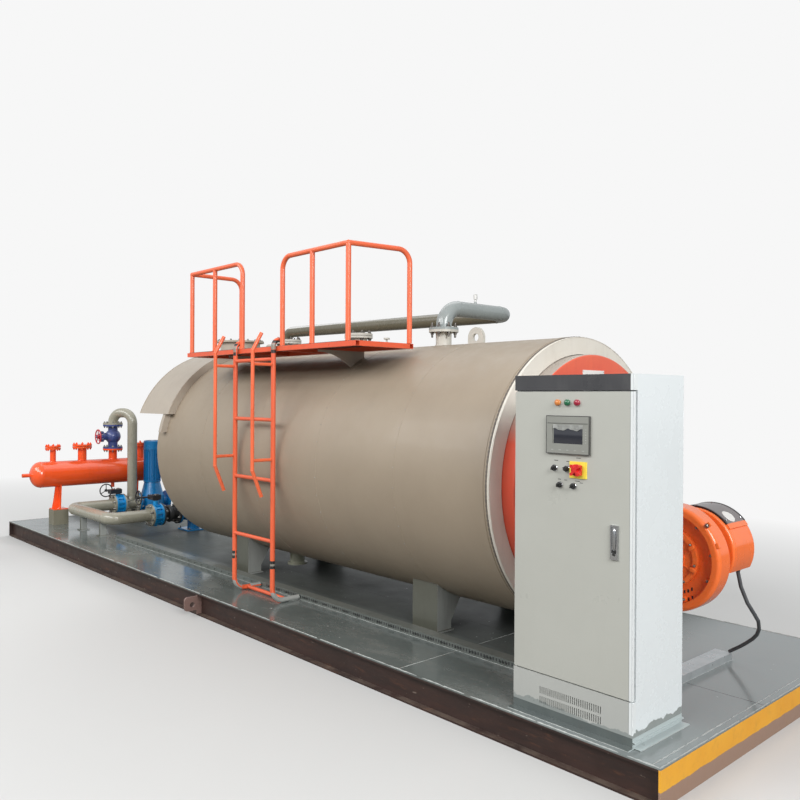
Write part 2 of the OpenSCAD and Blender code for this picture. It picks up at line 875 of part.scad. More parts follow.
module burner_head() {
    head_flange = 255;
    head_thickness = 24;
    cone_length = 260;
    cone_radius = 215;
    tube_start = door_face + head_thickness + cone_length;
    color("#8e9291")
        difference() {
            union() {
                translate([door_face, burner_middle, burner_z]) rotate([0, 90, 0])
                    flange(head_flange, head_thickness, 12);
                translate([door_face + head_thickness, burner_middle, burner_z]) rotate([0, 90, 0])
                    cylinder(h = cone_length, r1 = cone_radius, r2 = blast_radius);
                translate([tube_start, burner_middle, burner_z]) bar_x(burner_x - tube_start, blast_radius);
            }
            translate([burner_x, burner_near - 400, burner_z]) bar_y(1000, burner_radius + seat_gap);
        }
}

module burner_housing() {
    lip = 14;
    color("#ef6a35")
        difference() {
            union() {
                translate([burner_x, burner_near, burner_z]) bar_y(burner_width, burner_radius - lip);
                translate([burner_x, burner_near + lip, burner_z]) bar_y(burner_width - 2 * lip, burner_radius);
                for (y = [burner_near + lip, burner_far - lip])
                    translate([burner_x, y, burner_z]) rotate([90, 0, 0])
                        rotate_extrude() translate([burner_radius - lip, 0]) circle(r = lip, $fn = 32);
            }
            translate([burner_x - 400, burner_near - 1, burner_bottom - 400])
                cube([800, burner_width + 2, 400]);
        }
    color("#ef6a35")
        translate([fan_x, fan_far, fan_z]) bar_y(burner_near - fan_far, fan_radius * 0.6);
}

module burner_cover() {
    cover_sheet = 10;
    cover_margin = 20;
    cover_low = 150;
    cover_reach = 240;
    color("#5a5a5c")
        intersection() {
            difference() {
                translate([burner_x, burner_near + cover_margin, burner_z])
                    bar_y(burner_width - 2 * cover_margin, burner_radius + cover_sheet + seat_gap);
                translate([burner_x, burner_near, burner_z]) bar_y(burner_width, burner_radius + seat_gap);
            }
            translate([burner_x - cover_reach, burner_near, burner_z + cover_low])
                cube([2 * cover_reach, burner_width, 400]);
        }
}

// Round fan casing with a rounded rim, a recessed face and a raised inlet disc
module fan_casing() {
    rim = 24;
    recess = 60;
    rim_width = 50;
    inlet_radius = 178;
    inlet_bore = 150;
    inlet_depth = 16;
    hub_radius = 90;
    color("#ee5a2c") {
        difference() {
            union() {
                translate([fan_x, fan_near, fan_z]) bar_y(fan_width, fan_radius - rim);
                translate([fan_x, fan_near + rim, fan_z]) bar_y(fan_width - 2 * rim, fan_radius);
                for (y = [fan_near + rim, fan_far - rim])
                    translate([fan_x, y, fan_z]) rotate([90, 0, 0])
                        rotate_extrude() translate([fan_radius - rim, 0]) circle(r = rim, $fn = 32);
            }
            translate([fan_x, fan_near - 1, fan_z]) bar_y(recess + 1, fan_radius - rim_width);
        }
        translate([fan_x, fan_near + 20, fan_z])
            difference() {
                bar_y(recess, inlet_radius);
                translate([0, -1, 0]) bar_y(inlet_depth, inlet_bore);
            }
        translate([fan_x, fan_near + 28, fan_z]) bar_y(40, hub_radius);
    }
}

function unit(v) = v / norm(v);
function route_direction(points, i) =
    i == 0 ? unit(points[1] - points[0]) :
    i == len(points) - 1 ? unit(points[i] - points[i - 1]) : unit(points[i + 1] - points[i - 1]);
function ring_points(points, i, radius, sides) =
    let (d = route_direction(points, i),
        across = unit(cross(d, abs(d[2]) > 0.9 ? [1, 0, 0] : [0, 0, 1])),
        up = cross(across, d))
    [for (k = [0 : sides - 1])
        points[i] + radius * (cos(k * 360 / sides) * across + sin(k * 360 / sides) * up)];

// Tube of few sides swept along a list of points
module swept_tube(points, radius, sides) {
    rings = [for (i = [0 : len(points) - 1]) each ring_points(points, i, radius, sides)];
    last = (len(points) - 1) * sides;
    sides_faces = [for (i = [0 : len(points) - 2]) for (k = [0 : sides - 1])
        [i * sides + k, i * sides + (k + 1) % sides, (i + 1) * sides + (k + 1) % sides, (i + 1) * sides + k]];
    polyhedron(points = rings, faces = concat(sides_faces,
        [[for (k = [sides - 1 : -1 : 0]) k]], [[for (k = [0 : sides - 1]) last + k]]));
}

module burner_conduit() {
    color("#2b2d2f") swept_tube(conduit_points, conduit_radius, 10);
}

tray_width = 100;
tray_height = 48;
tray_left = -2700;

module cable_tray() {
    slot_pitch = 140;
    slot_count = 46;
    color("#8d9794")
        difference() {
            translate([tray_left, tray_near, deck_z])
                cube([cabinet_left - tray_left - seat_gap, tray_width, tray_height]);
            for (i = [0 : slot_count - 1])
                translate([tray_left + 60 + i * slot_pitch, tray_near - 1, deck_z + 12]) cube([70, 7, 18]);
        }
}

module tray_cover() {
    cover_x = 4440;
    cover_width = 120;
    cover_far = 480;
    color("#b9c0c2")
        difference() {
            translate([cover_x - cover_width / 2, cabinet_back + seat_gap, deck_z])
                cube([cover_width, cover_far - cabinet_back - seat_gap, tray_height]);
            translate([cover_x - cover_width / 2 + 4, cabinet_back + 4, deck_z - 1])
                cube([cover_width - 8, cover_far - cabinet_back - 8, tray_height - 3]);
        }
}

// Outline of half a vessel with elliptical ends, for turning about its axis
function vessel_profile(radius, depth, length, steps) = concat(
    [for (i = [0 : steps]) [radius * sin(i * 90 / steps), -depth * cos(i * 90 / steps)]],
    [for (i = [0 : steps]) [radius * cos(i * 90 / steps), length + depth * sin(i * 90 / steps)]]);

// Nozzles with a blind flange: place along the header, pipe radius, flange radius, top of the pair
blind_nozzles = [[nozzle_near, 38, 100, 1284], [nozzle_second, 58, 128, 1289], [nozzle_far, 48, 118, 1289]];

module header_vessel() {
    nozzle_base = header_height + 100;
    boss_length = 100;
    gasket = 6;
    color("#f0512d") {
        translate([header_x, header_near, header_height]) rotate([-90, 0, 0])
            rotate_extrude()
                polygon(vessel_profile(header_radius, header_dome, header_length, 10));
        translate([header_x, header_near - header_dome - boss_length, header_height])
            bar_y(boss_length + 12, 26);
        for (item = blind_nozzles)
            translate([header_x, item[0], 0]) {
                lower_flange = item[3] - 2 * flange_thickness - gasket;
                translate([0, 0, nozzle_base]) cylinder(h = lower_flange - nozzle_base + 12, r = item[1]);
                translate([0, 0, lower_flange]) flange(item[2], flange_thickness, 8);
                translate([0, 0, lower_flange + flange_thickness]) cylinder(h = gasket, r = item[2] * 0.7);
                translate([0, 0, item[3] - flange_thickness]) flange(item[2], flange_thickness, 8);
            }
        translate([header_x, nozzle_valve, nozzle_base])
            cylinder(h = header_flange_z - nozzle_base - 10, r = 58);
        translate([header_x, nozzle_valve, header_flange_z - flange_thickness])
            flange(valve_flange_radius, flange_thickness, 8);
        translate([header_x, nozzle_valve, header_height - header_radius - 60]) cylinder(h = 100, r = 25);
    }
}

valve_flange_radius = 135;
header_leg_y = [header_middle - header_leg_offset, header_middle + header_leg_offset];

// Legs with a broad plate across the header and a tapered rib along it
module header_legs() {
    plate = 14;
    plate_shift = -10;
    low = deck_z + pedestal_height;
    plate_overlap = 32;
    rise = header_height - header_radius + plate_overlap - low - plate;
    foot_half = 80;
    top_half = 110;
    rib_foot = 82;
    rib_top = 34;
    rib_middle = [56, 150];
    color("#f0512d")
        for (y = header_leg_y)
            difference() {
                union() {
                    translate([header_x - pedestal_width / 2 + 5, y - pedestal_length / 2 + 5, low])
                        cube([pedestal_width - 10, pedestal_length - 10, plate]);
                    translate([header_x, y + plate_shift + plate, low + plate]) rotate([90, 0, 0])
                        linear_extrude(height = plate)
                            polygon([[-foot_half, 0], [foot_half, 0], [top_half, rise], [-top_half, rise]]);
                    translate([header_x - plate / 2, y + plate_shift, low + plate]) rotate([90, 0, 90])
                        linear_extrude(height = plate)
                            polygon([[-rib_foot, 0], [2, 0], [2, rise], [-rib_top, rise],
                                [-rib_middle[0], rib_middle[1]]]);
                }
                translate([header_x, header_near, header_height]) bar_y(header_length, header_radius + seat_gap);
            }
}

module header_pedestals() {
    wall = 10;
    color("#8b8f84")
        for (y = header_leg_y)
            translate([header_x - pedestal_width / 2, y - pedestal_length / 2, deck_z])
                difference() {
                    cube([pedestal_width, pedestal_length, pedestal_height]);
                    translate([wall, wall, -1])
                        cube([pedestal_width - 2 * wall, pedestal_length - 2 * wall, pedestal_height - wall + 1]);
                }
}

// Globe valve with a rounded body, its stem pointing along the header
module globe_valve() {
    low = header_flange_z;
    high = gooseneck_start_z - seat_gap;
    color("#34539c")
        translate([header_x, nozzle_valve, 0]) {
            translate([0, 0, low]) flange(valve_flange_radius, flange_thickness, 8);
            translate([0, 0, high - flange_thickness]) flange(valve_flange_radius, flange_thickness, 8);
            translate([0, 0, low + 20]) cylinder(h = high - low - 40, r = 66);
            translate([0, 0, globe_z]) sphere(r = 108);
            translate([0, -150, globe_z]) bar_y(150, 52);
            translate([0, -166, globe_z]) bar_y(18, 78);
            translate([0, -globe_wheel_reach - 30, globe_z]) bar_y(100, 16);
        }
}

// Handwheel with a round rim, spokes and hub, its axis along X
module wheel(rim_radius, tube_radius, hub_radius, hub_length, bore, spokes) {
    difference() {
        union() {
            rotate([0, 90, 0]) rotate_extrude() translate([rim_radius, 0]) circle(r = tube_radius, $fn = 32);
            translate([-hub_length / 2, 0, 0]) bar_x(hub_length, hub_radius);
            for (i = [0 : spokes - 1])
                rotate([i * 360 / spokes, 0, 0]) cylinder(h = rim_radius, r = tube_radius * 0.7, $fn = 24);
        }
        translate([-hub_length, 0, 0]) bar_x(2 * hub_length, bore);
    }
}

module globe_handwheel() {
    color("#d23a3a") translate([header_x, nozzle_valve - globe_wheel_reach, globe_z]) rotate([0, 0, 90])
        wheel(98, 9, 28, 30, 16 + pin_gap, 5);
}

// Bend over from the valve, drop behind the rear valve and swept tee into the rear suction line
module gooseneck_pipe() {
    span = norm([rear_line_x - header_x, drop_y - nozzle_valve]);
    turn = atan2(drop_y - nozzle_valve, rear_line_x - header_x);
    drop = gooseneck_start_z + flange_thickness - suction_height - drop_bend;
    tee_start = rear_valve_y + valve_half;
    tee_length = rear_pump_y - pump_half - tee_start;
    weld_bead = 2;
    color("#9aa198") {
        translate([header_x, nozzle_valve, gooseneck_start_z + flange_thickness]) rotate([0, 0, turn]) {
            translate([0, 0, -flange_thickness]) rotate([0, 0, -turn])
                flange(valve_flange_radius, flange_thickness, 8);
            bend(gooseneck_radius, gooseneck_bend);
            translate([gooseneck_bend, 0, gooseneck_bend])
                bar_x(span - 2 * gooseneck_bend, gooseneck_radius);
            translate([span, 0, 0]) rotate([0, 0, 180]) bend(gooseneck_radius, gooseneck_bend);
            translate([span, 0, -drop]) cylinder(h = drop, r = gooseneck_radius);
        }
        translate([rear_line_x, drop_y, suction_height + drop_bend]) {
            rotate([0, 0, -90]) mirror([0, 0, 1]) bend(gooseneck_radius, drop_bend);
            translate([0, 0, -2 * weld_bead]) cylinder(h = 4 * weld_bead, r = gooseneck_radius + weld_bead);
        }
        translate([rear_line_x, tee_start, suction_height]) rotate([-90, 0, 0]) {
            flange(suction_flange, flange_thickness, 8);
            cylinder(h = tee_length, r = suction_radius);
            translate([0, 0, tee_length - flange_thickness]) flange(suction_flange, flange_thickness, 8);
        }
    }
}

// Pipe along the near side that joins the two suction lines, with a flange at each valve
module suction_pipe() {
    color("#8f958b") {
        translate([rear_line_x + suction_bend, suction_y, suction_height])
            bar_x(front_line_x - rear_line_x - 2 * suction_bend, suction_radius);
        suction_branch(rear_line_x, rear_valve_y, 0);
        suction_branch(front_line_x, front_valve_y, 1);
    }
}

// Bend from the near pipe and straight piece up to a valve's flange
module suction_branch(line_x, valve_y, mirrored) {
    translate([line_x, suction_y + suction_bend, suction_height])
        rotate([90, 0, 0]) mirror([mirrored, 0, 0]) bend(suction_radius, suction_bend);
    translate([line_x, suction_y + suction_bend, suction_height])
        bar_y(valve_y - valve_half - suction_y - suction_bend, suction_radius);
    translate([line_x, valve_y - valve_half - flange_thickness, suction_height])
        rotate([-90, 0, 0]) flange(suction_flange, flange_thickness, 8);
}

// Lugged butterfly valve body with the neck that carries its gear box
module butterfly_valve(gear_rise) {
    translate([0, -valve_half, 0]) rotate([-90, 0, 0]) {
        cylinder(h = 2 * valve_half, r = suction_radius + 40);
        cylinder(h = 20, r = suction_flange);
        translate([0, 0, 2 * valve_half - 20]) cylinder(h = 20, r = suction_flange);
    }
    cylinder(h = gear_rise - 20, r = 34);
}

// Worm gear box with the shaft of its handwheel, which points along negative X
module valve_gear() {
    translate([-55, -gear_shaft_side - 30, -30]) cube([110, gear_shaft_side + 65, 60]);
    translate([-gear_shaft_reach - 26, -gear_shaft_side, 0]) bar_x(gear_shaft_reach - 20, 11);
}

module butterfly_valves() {
    color("#1e78c8") {
        translate([rear_line_x, rear_valve_y, suction_height]) {
            butterfly_valve(rear_gear_rise);
            translate([0, 0, rear_gear_rise]) valve_gear();
        }
        translate([front_line_x, front_valve_y, suction_height]) {
            butterfly_valve(front_gear_rise);
            translate([0, 0, front_gear_rise]) rotate([0, 0, 90]) mirror([0, 1, 0]) valve_gear();
        }
    }
}

// Handwheel of a gear box, its axis along X
module gear_wheel() {
    wheel(88, 8, 20, 24, 11 + pin_gap, 3);
}

module rear_gear_wheel() {
    color("#26282a")
        translate([rear_line_x - gear_shaft_reach, rear_valve_y - gear_shaft_side,
            suction_height + rear_gear_rise]) gear_wheel();
}

module front_gear_wheel() {
    color("#26282a")
        translate([front_line_x - gear_shaft_side, front_valve_y - gear_shaft_reach,
            suction_height + front_gear_rise]) rotate([0, 0, 90]) gear_wheel();
}

// Rubber expansion joint between the front valve and its pump
module rubber_joint() {
    start = front_valve_y + valve_half;
    finish = front_pump_y - pump_half;
    color("#1d1e20") translate([front_line_x, start, suction_height]) rotate([-90, 0, 0]) {
        flange(suction_flange, flange_thickness, 8);
        cylinder(h = finish - start, r = suction_radius);
        translate([0, 0, (finish - start) / 2]) rotate_extrude()
            translate([suction_radius, 0]) circle(r = 36, $fn = 48);
        translate([0, 0, finish - start - flange_thickness]) flange(suction_flange, flange_thickness, 8);
    }
}

pump_top = 730;

// In-line pump casing with two flanges, a foot and the lantern under its motor
module pump_casing() {
    translate([0, -pump_half, suction_height]) rotate([-90, 0, 0]) {
        flange(suction_flange, flange_thickness, 8);
        cylinder(h = 2 * pump_half, r = suction_radius);
        translate([0, 0, 2 * pump_half - flange_thickness]) flange(suction_flange, flange_thickness, 8);
    }
    translate([0, 0, suction_height - 95]) cylinder(h = 190, r = 170);
    translate([0, 0, deck_z]) cylinder(h = suction_height - 95 - deck_z, r = 80);
    translate([-150, -150, deck_z]) cube([300, 300, 16]);
    translate([0, 0, suction_height + 95]) cylinder(h = pump_top - suction_height - 95, r1 = 160, r2 = 110);
}

module pump_casings() {
    color("#1e6fb8")
        for (place = [[rear_line_x, rear_pump_y], [front_line_x, front_pump_y]])
            translate([place[0], place[1], 0]) pump_casing();
}

module pump_motors() {
    motor_high = 1330;
    cap = 130;
    fin_count = 24;
    color("#1a72c0")
        for (place = [[rear_line_x, rear_pump_y], [front_line_x, front_pump_y]])
            translate([place[0], place[1], 0]) {
                translate([0, 0, pump_top]) cylinder(h = 18, r = motor_radius);
                translate([0, 0, pump_top + 18])
                    cylinder(h = motor_high - cap - pump_top - 18, r = motor_radius - 12);
                for (i = [0 : fin_count - 1])
                    rotate([0, 0, i * 360 / fin_count])
                        translate([motor_radius - 16, -2, pump_top + 18])
                            cube([14, 4, motor_high - cap - pump_top - 18]);
                translate([0, 0, motor_high - cap]) cylinder(h = cap - 10, r = motor_radius);
                translate([0, 0, motor_high - 10]) cylinder(h = 10, r1 = motor_radius, r2 = motor_radius - 12);
            }
}

module pipe_supports() {
    color("#8b8f84")
        for (x = [rear_line_x + 420, front_line_x - 240])
            difference() {
                union() {
                    translate([x - 60, suction_y - 60, deck_z]) cube([120, 120, 10]);
                    translate([x - 20, suction_y - 40, deck_z + 10])
                        cube([40, 80, suction_height - deck_z - 20]);
                }
                translate([rear_line_x, suction_y, suction_height])
                    bar_x(front_line_x - rear_line_x, suction_radius + seat_gap);
            }
}

skid_side_beams();
skid_cross_beams();
skid_front_beam();
deck_plate();
lashing_lugs();
boiler_shell();
front_ring();
front_plate();
furnace_door();
rear_plate();
rear_hood();
boiler_legs();
top_nozzles();
bottom_neck();
lifting_lugs();
upper_pipe();
platform_frame();
platform_floor();
platform_brackets();
left_railing();
right_railing();
ladder();
grab_rails();
cabinet_body();
cabinet_fronts();
cabinet_base();
cabinet_door();
screen_unit();
indicator_lamps();
control_knobs();
isolator_plate();
isolator_handle();
door_handle();
burner_head();
burner_housing();
burner_cover();
fan_casing();
burner_conduit();
cable_tray();
tray_cover();
header_vessel();
header_legs();
header_pedestals();
globe_valve();
globe_handwheel();
gooseneck_pipe();
suction_pipe();
butterfly_valves();
rear_gear_wheel();
front_gear_wheel();
rubber_joint();
pump_casings();
pump_motors();
pipe_supports();
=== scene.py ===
import bmesh
import bpy
import random
from math import asin, cos, pi, radians, sin
from mathutils import Matrix, Vector


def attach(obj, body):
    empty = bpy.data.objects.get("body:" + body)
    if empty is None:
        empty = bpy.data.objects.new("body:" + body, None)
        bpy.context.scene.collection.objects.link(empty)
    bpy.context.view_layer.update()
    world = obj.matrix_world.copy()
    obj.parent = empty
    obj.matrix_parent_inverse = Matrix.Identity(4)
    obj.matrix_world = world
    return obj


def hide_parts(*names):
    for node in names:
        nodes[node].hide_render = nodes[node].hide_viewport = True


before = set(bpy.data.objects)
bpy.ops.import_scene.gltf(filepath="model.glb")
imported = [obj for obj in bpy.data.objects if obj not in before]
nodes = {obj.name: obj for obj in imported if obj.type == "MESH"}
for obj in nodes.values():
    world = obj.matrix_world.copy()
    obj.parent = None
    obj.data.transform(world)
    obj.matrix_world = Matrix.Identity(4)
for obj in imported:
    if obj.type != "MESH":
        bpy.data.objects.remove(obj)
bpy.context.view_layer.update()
print("stage: frame loaded")

# camera at the photograph's place, in metres and degrees
cameraSet = {"place": (6.9455, -4.8331, 1.9702), "turn": 47.5425, "tilt": 89.841, "roll": 0.3066,
             "lens": 35.684}


def addObject(name, data):
    made = bpy.data.objects.new(name, data)
    bpy.context.scene.collection.objects.link(made)
    return made


def makeCamera():
    data = bpy.data.cameras.new("view")
    data.lens = cameraSet["lens"]
    data.sensor_width = 36
    data.clip_end = 200
    camera = addObject("view", data)
    turn, tilt, roll = [radians(cameraSet[key]) for key in ("turn", "tilt", "roll")]
    spin = Matrix.Rotation(turn, 4, "Z") @ Matrix.Rotation(tilt, 4, "X")
    camera.matrix_world = Matrix.Translation(cameraSet["place"]) @ spin @ Matrix.Rotation(roll, 4, "Z")
    bpy.context.scene.camera = camera


makeCamera()
print("stage: camera made")


# one small shader graph, so that each material below stays short
class Graph:
    def __init__(self, name):
        self.material = bpy.data.materials.new(name)
        self.material.use_nodes = True
        self.tree = self.material.node_tree
        self.tree.nodes.clear()
        self.out = self.tree.nodes.new("ShaderNodeOutputMaterial")
        self.shader = self.add("BsdfPrincipled", {})
        self.tree.links.new(self.shader.outputs[0], self.out.inputs[0])
        self.coords = self.add("TexCoord", {}).outputs["Object"]

    # node of a kind with its input values or links, and its settings
    def add(self, kind, values, **settings):
        node = self.tree.nodes.new("ShaderNode" + kind)
        for name, value in settings.items():
            setattr(node, name, value)
        for key, value in values.items():
            self.put(node.inputs[key], value)
        return node

    def put(self, socket, value):
        if isinstance(value, bpy.types.NodeSocket):
            self.tree.links.new(value, socket)
        elif value is not None:
            socket.default_value = value

    def noise(self, scale, detail=6, rough=0.6, stretch=(1, 1, 1), twist=0):
        place = self.add("Mapping", {"Vector": self.coords, "Scale": stretch}).outputs[0]
        return self.add("TexNoise", {"Vector": place, "Scale": scale, "Detail": detail, "Roughness": rough,
                                     "Distortion": twist}).outputs[0]

    def ramp(self, value, low, high, start=0.0, end=1.0):
        return self.add("MapRange", {"Value": value, "From Min": low, "From Max": high, "To Min": start,
                                     "To Max": end}).outputs[0]

    # noise in a range of values
    def cloud(self, scale, detail, low, high, start=0.0, end=1.0, rough=0.6, stretch=(1, 1, 1), twist=0):
        return self.ramp(self.noise(scale, detail, rough, stretch, twist), low, high, start, end)

    def mix(self, share, first, second):
        return self.add("Mix", {0: share, 6: rgba(first), 7: rgba(second)}, data_type="RGBA").outputs[2]

    def math(self, kind, first, second=None):
        return self.add("Math", {0: first, 1: second}, operation=kind).outputs[0]

    def times(self, first, second):
        return self.math("MULTIPLY", first, second)

    def plus(self, first, second):
        return self.math("ADD", first, second)

    def most(self, first, second):
        return self.math("MAXIMUM", first, second)

    def over(self, first, second):
        return self.math("GREATER_THAN", first, second)

    def below(self, first, second):
        return self.math("LESS_THAN", first, second)

    def part(self, source, letter):
        return self.add("SeparateXYZ", {0: source}).outputs["XYZ".index(letter)]

    def facing(self, letter):
        return self.part(self.add("NewGeometry", {}).outputs["Normal"], letter)

    def axis(self, letter):
        return self.part(self.coords, letter)

    # thin lines across an axis
    def near(self, letter, pitch, width, offset=0.0):
        return self.below(self.math("PINGPONG", self.plus(self.axis(letter), offset), pitch / 2), width / 2)

    def bump(self, height, strength, distance=0.002):
        node = self.add("Bump", {"Strength": strength, "Distance": distance, "Height": height})
        self.put(self.shader.inputs["Normal"], node.outputs[0])

    # one more colour over what is there
    def layer(self, share, colour):
        self.base = self.mix(share, self.base, colour)

    def done(self, rough, metal=0.0, coat=0.0):
        for key, value in (("Base Color", self.base), ("Roughness", rough), ("Metallic", metal),
                           ("Coat Weight", coat), ("Coat Roughness", 0.1)):
            self.put(self.shader.inputs[key], value)
        return self.material


def rgba(value):
    return (*value, 1.0) if isinstance(value, tuple) and len(value) == 3 else value


dustColour = (0.34, 0.30, 0.25)


# share of a split's colour on its side of a level, with a ragged edge
def splitShare(g, split):
    ragged, level = split.get("ragged", 0.0), split["at"]
    edge = g.plus(g.axis(split["axis"]), g.cloud(split.get("scale", 9), 5, 0.3, 0.7, -ragged, ragged))
    return g.ramp(edge, level - 0.0015, level + 0.0015, *((0, 1) if split["above"] else (1, 0)))


# base coat with soft clouds, streaks of grime, dust on what faces up and a fine orange peel
def paint(name, colour, worn, rough=0.4, dirt=(0.10, 0.09, 0.08), dirtShare=0.25, streak=(6, 6, 1.2),
          coat=0.2, dust=0.0, wave=0.0, splits=()):
    g = Graph(name)
    g.base = g.mix(g.cloud(1.7, 5, 0.35, 0.7), colour, worn)
    for split in splits:
        g.layer(splitShare(g, split), split["colour"])
    g.layer(g.cloud(2.2, 8, 0.52, 0.78, 0.0, dirtShare, 0.7, streak), dirt)
    roughOut = g.cloud(5, 6, 0.3, 0.75, rough - 0.1, rough + 0.15, 0.65)
    if dust:
        up = g.ramp(g.facing("Z"), 0.35, 0.9, 0.0, dust)
        cover = g.times(up, g.cloud(11, 7, 0.3, 0.65, 0.35, 1.0, 0.7))
        g.layer(cover, dustColour)
        roughOut = g.plus(roughOut, g.times(cover, 0.35))
    height = g.times(g.noise(90, 3, 0.5), 0.12)
    if wave:
        height = g.plus(height, g.times(g.noise(1.3, 2, 0.4, (1.2, 0.5, 0.5)), wave))
    g.bump(height, 1.0)
    return g.done(roughOut, 0.0, coat)


# bare steel, zinc or chrome with fine scratches
def metal(name, colour, worn, rough=0.3, amount=1.0, scratch=(40, 40, 4)):
    g = Graph(name)
    g.base = g.mix(g.cloud(7, 6, 0.35, 0.7, 0.0, 1.0, 0.65), colour, worn)
    g.bump(g.noise(12, 4, 0.6, scratch), 0.08)
    return g.done(g.cloud(9, 6, 0.3, 0.75, rough - 0.08, rough + 0.14, 0.7), amount)


# deck colours, among them a painted shade for beneath the boiler and a painted light for the burner end
deckSet = {"paint": (0.140, 0.162, 0.156), "worn": (0.105, 0.122, 0.117), "dust": (0.27, 0.262, 0.24),
           "under": (0.05, 0.052, 0.047), "front": (0.20, 0.225, 0.222), "spots": (0.62, 0.62, 0.6),
           "seam": (0.05, 0.052, 0.05), "scratch": (0.5, 0.5, 0.47), "seamPitch": 1.5, "seamOffset": -0.12,
           "lengthSeam": 0.17, "crossWeld": 3.125}


# glossy deck paint with the plate seams, scuffs, dust and pale overspray spots, painted shade beneath the
# boiler and painted light towards the burner end
def deckPaint():
    g = Graph("deck_paint")
    g.base = g.mix(g.cloud(0.8, 6, 0.35, 0.68), deckSet["paint"], deckSet["worn"])
    # painted shade beneath the boiler: a darker colour there, with less gloss
    under = g.times(g.ramp(g.axis("Y"), -0.78, -0.5), g.ramp(g.axis("X"), 3.6, 4.1, 1.0, 0.0))
    g.layer(g.times(under, 0.75), deckSet["under"])
    # painted light: the deck turns paler, with less dust, towards the burner end
    front = g.ramp(g.axis("X"), 3.7, 4.3)
    g.layer(front, deckSet["front"])
    dust = g.cloud(1.4, 9, 0.48, 0.72, 0.0, 0.42, 0.72, (1, 2.2, 1))
    dust = g.times(dust, g.ramp(g.most(front, under), 0.0, 1.0, 1.0, 0.25))
    g.layer(dust, deckSet["dust"])
    spots = g.times(g.cloud(26, 3, 0.71, 0.74, 0.0, 1.0, 0.5), g.cloud(1.1, 3, 0.5, 0.62))
    g.layer(spots, deckSet["spots"])
    cross = g.times(g.near("X", deckSet["seamPitch"], 0.004, deckSet["seamOffset"]),
                    g.below(g.axis("X"), 3.6))
    seams = g.most(cross, g.near("Y", 5.2, 0.008, deckSet["lengthSeam"]))
    g.layer(seams, deckSet["seam"])
    scratch = g.times(g.cloud(3, 10, 0.66, 0.68, 0.0, 1.0, 0.8, (0.6, 9, 1), 1.5), 0.35)
    g.layer(scratch, deckSet["scratch"])
    g.bump(g.math("SUBTRACT", g.times(g.noise(2.1, 4, 0.5), 0.9), seams), 0.5, 0.003)
    rough = g.plus(g.cloud(2.6, 7, 0.3, 0.7, 0.10, 0.26, 0.7), g.times(dust, 0.55))
    rough = g.plus(rough, g.times(under, 0.2))
    g.put(g.shader.inputs["Specular IOR Level"], g.ramp(under, 0.0, 1.0, 0.5, 0.07))
    return g.done(rough, 0.0, g.ramp(under, 0.0, 1.0, 0.4, 0.02))


beamSet = {"rust": (0.045, 0.021, 0.016), "dark": (0.022, 0.012, 0.010), "dusty": (0.17, 0.13, 0.10)}


# red-brown primer on rusty beams, dusty on the upward faces
def beamPaint():
    g = Graph("beam_primer")
    g.base = g.mix(g.cloud(3.1, 9, 0.36, 0.66, 0.0, 1.0, 0.7, (0.6, 2, 4)), beamSet["rust"], beamSet["dark"])
    rust = g.cloud(8, 8, 0.56, 0.7, 0.0, 0.8, 0.75, (0.5, 1, 3))
    g.layer(rust, (0.12, 0.048, 0.025))
    cover = g.times(g.ramp(g.facing("Z"), 0.3, 0.9, 0.0, 0.6), g.cloud(5, 7, 0.35, 0.6, 0.0, 1.0, 0.7))
    g.layer(cover, beamSet["dusty"])
    g.layer(g.cloud(34, 5, 0.68, 0.72, 0, 0.5, 0.6, (0.4, 1, 1)), (0.3, 0.24, 0.2))
    g.bump(g.noise(28, 7, 0.7), 0.35)
    return g.done(g.cloud(6, 6, 0.3, 0.7, 0.38, 0.62, 0.7), 0.0, 0.15)


# angle steel of the cabinet's foot, with painted light on the faces turned to the burner end and on the top
# of the end flange
def basePaint():
    g = Graph("base_steel")
    g.base = g.mix(g.cloud(6, 6, 0.35, 0.7), (0.085, 0.102, 0.10), (0.11, 0.13, 0.125))
    end = g.times(g.ramp(g.axis("X"), 4.789, 4.791), g.ramp(g.axis("Y"), -1.262, -1.256))
    lit = g.times(end, g.ramp(g.facing("Z"), 0.5, 0.7))
    lit = g.most(g.ramp(g.facing("X"), 0.5, 0.7), lit)
    g.layer(lit, (0.44, 0.50, 0.50))
    g.layer(g.cloud(9, 8, 0.58, 0.75, 0.0, 0.4, 0.7), (0.10, 0.10, 0.09))
    g.bump(g.noise(50, 5), 0.15)
    return g.done(g.cloud(7, 5, 0.3, 0.7, 0.25, 0.42), 0.0, 0.3)


# leg steel, with painted light on the faces turned to the burner end
def legPaint():
    g = Graph("leg_paint")
    g.base = g.mix(g.cloud(1.7, 5, 0.35, 0.7), (0.088, 0.09, 0.070), (0.115, 0.118, 0.095))
    g.layer(g.ramp(g.facing("X"), 0.5, 0.7), (0.36, 0.375, 0.355))
    g.layer(g.cloud(2.2, 8, 0.52, 0.78, 0.0, 0.3, 0.7, (6, 6, 1.2)), (0.07, 0.065, 0.05))
    g.bump(g.noise(90, 3), 0.12)
    return g.done(g.cloud(5, 6, 0.3, 0.75, 0.28, 0.5, 0.65), 0.0, 0.2)


# one lens colour for each place along the door
def lensMaterial():
    g = Graph("lamp_lens")
    g.base = g.mix(g.over(g.axis("X"), 4.355), (0.62, 0.21, 0.045), (0.008, 0.125, 0.052))
    g.layer(g.over(g.axis("X"), 4.418), (0.32, 0.009, 0.035))
    inner = g.noise(60, 3)
    g.bump(inner, 0.2)
    return g.done(g.ramp(inner, 0.3, 0.7, 0.08, 0.2), 0.0, 0.6)


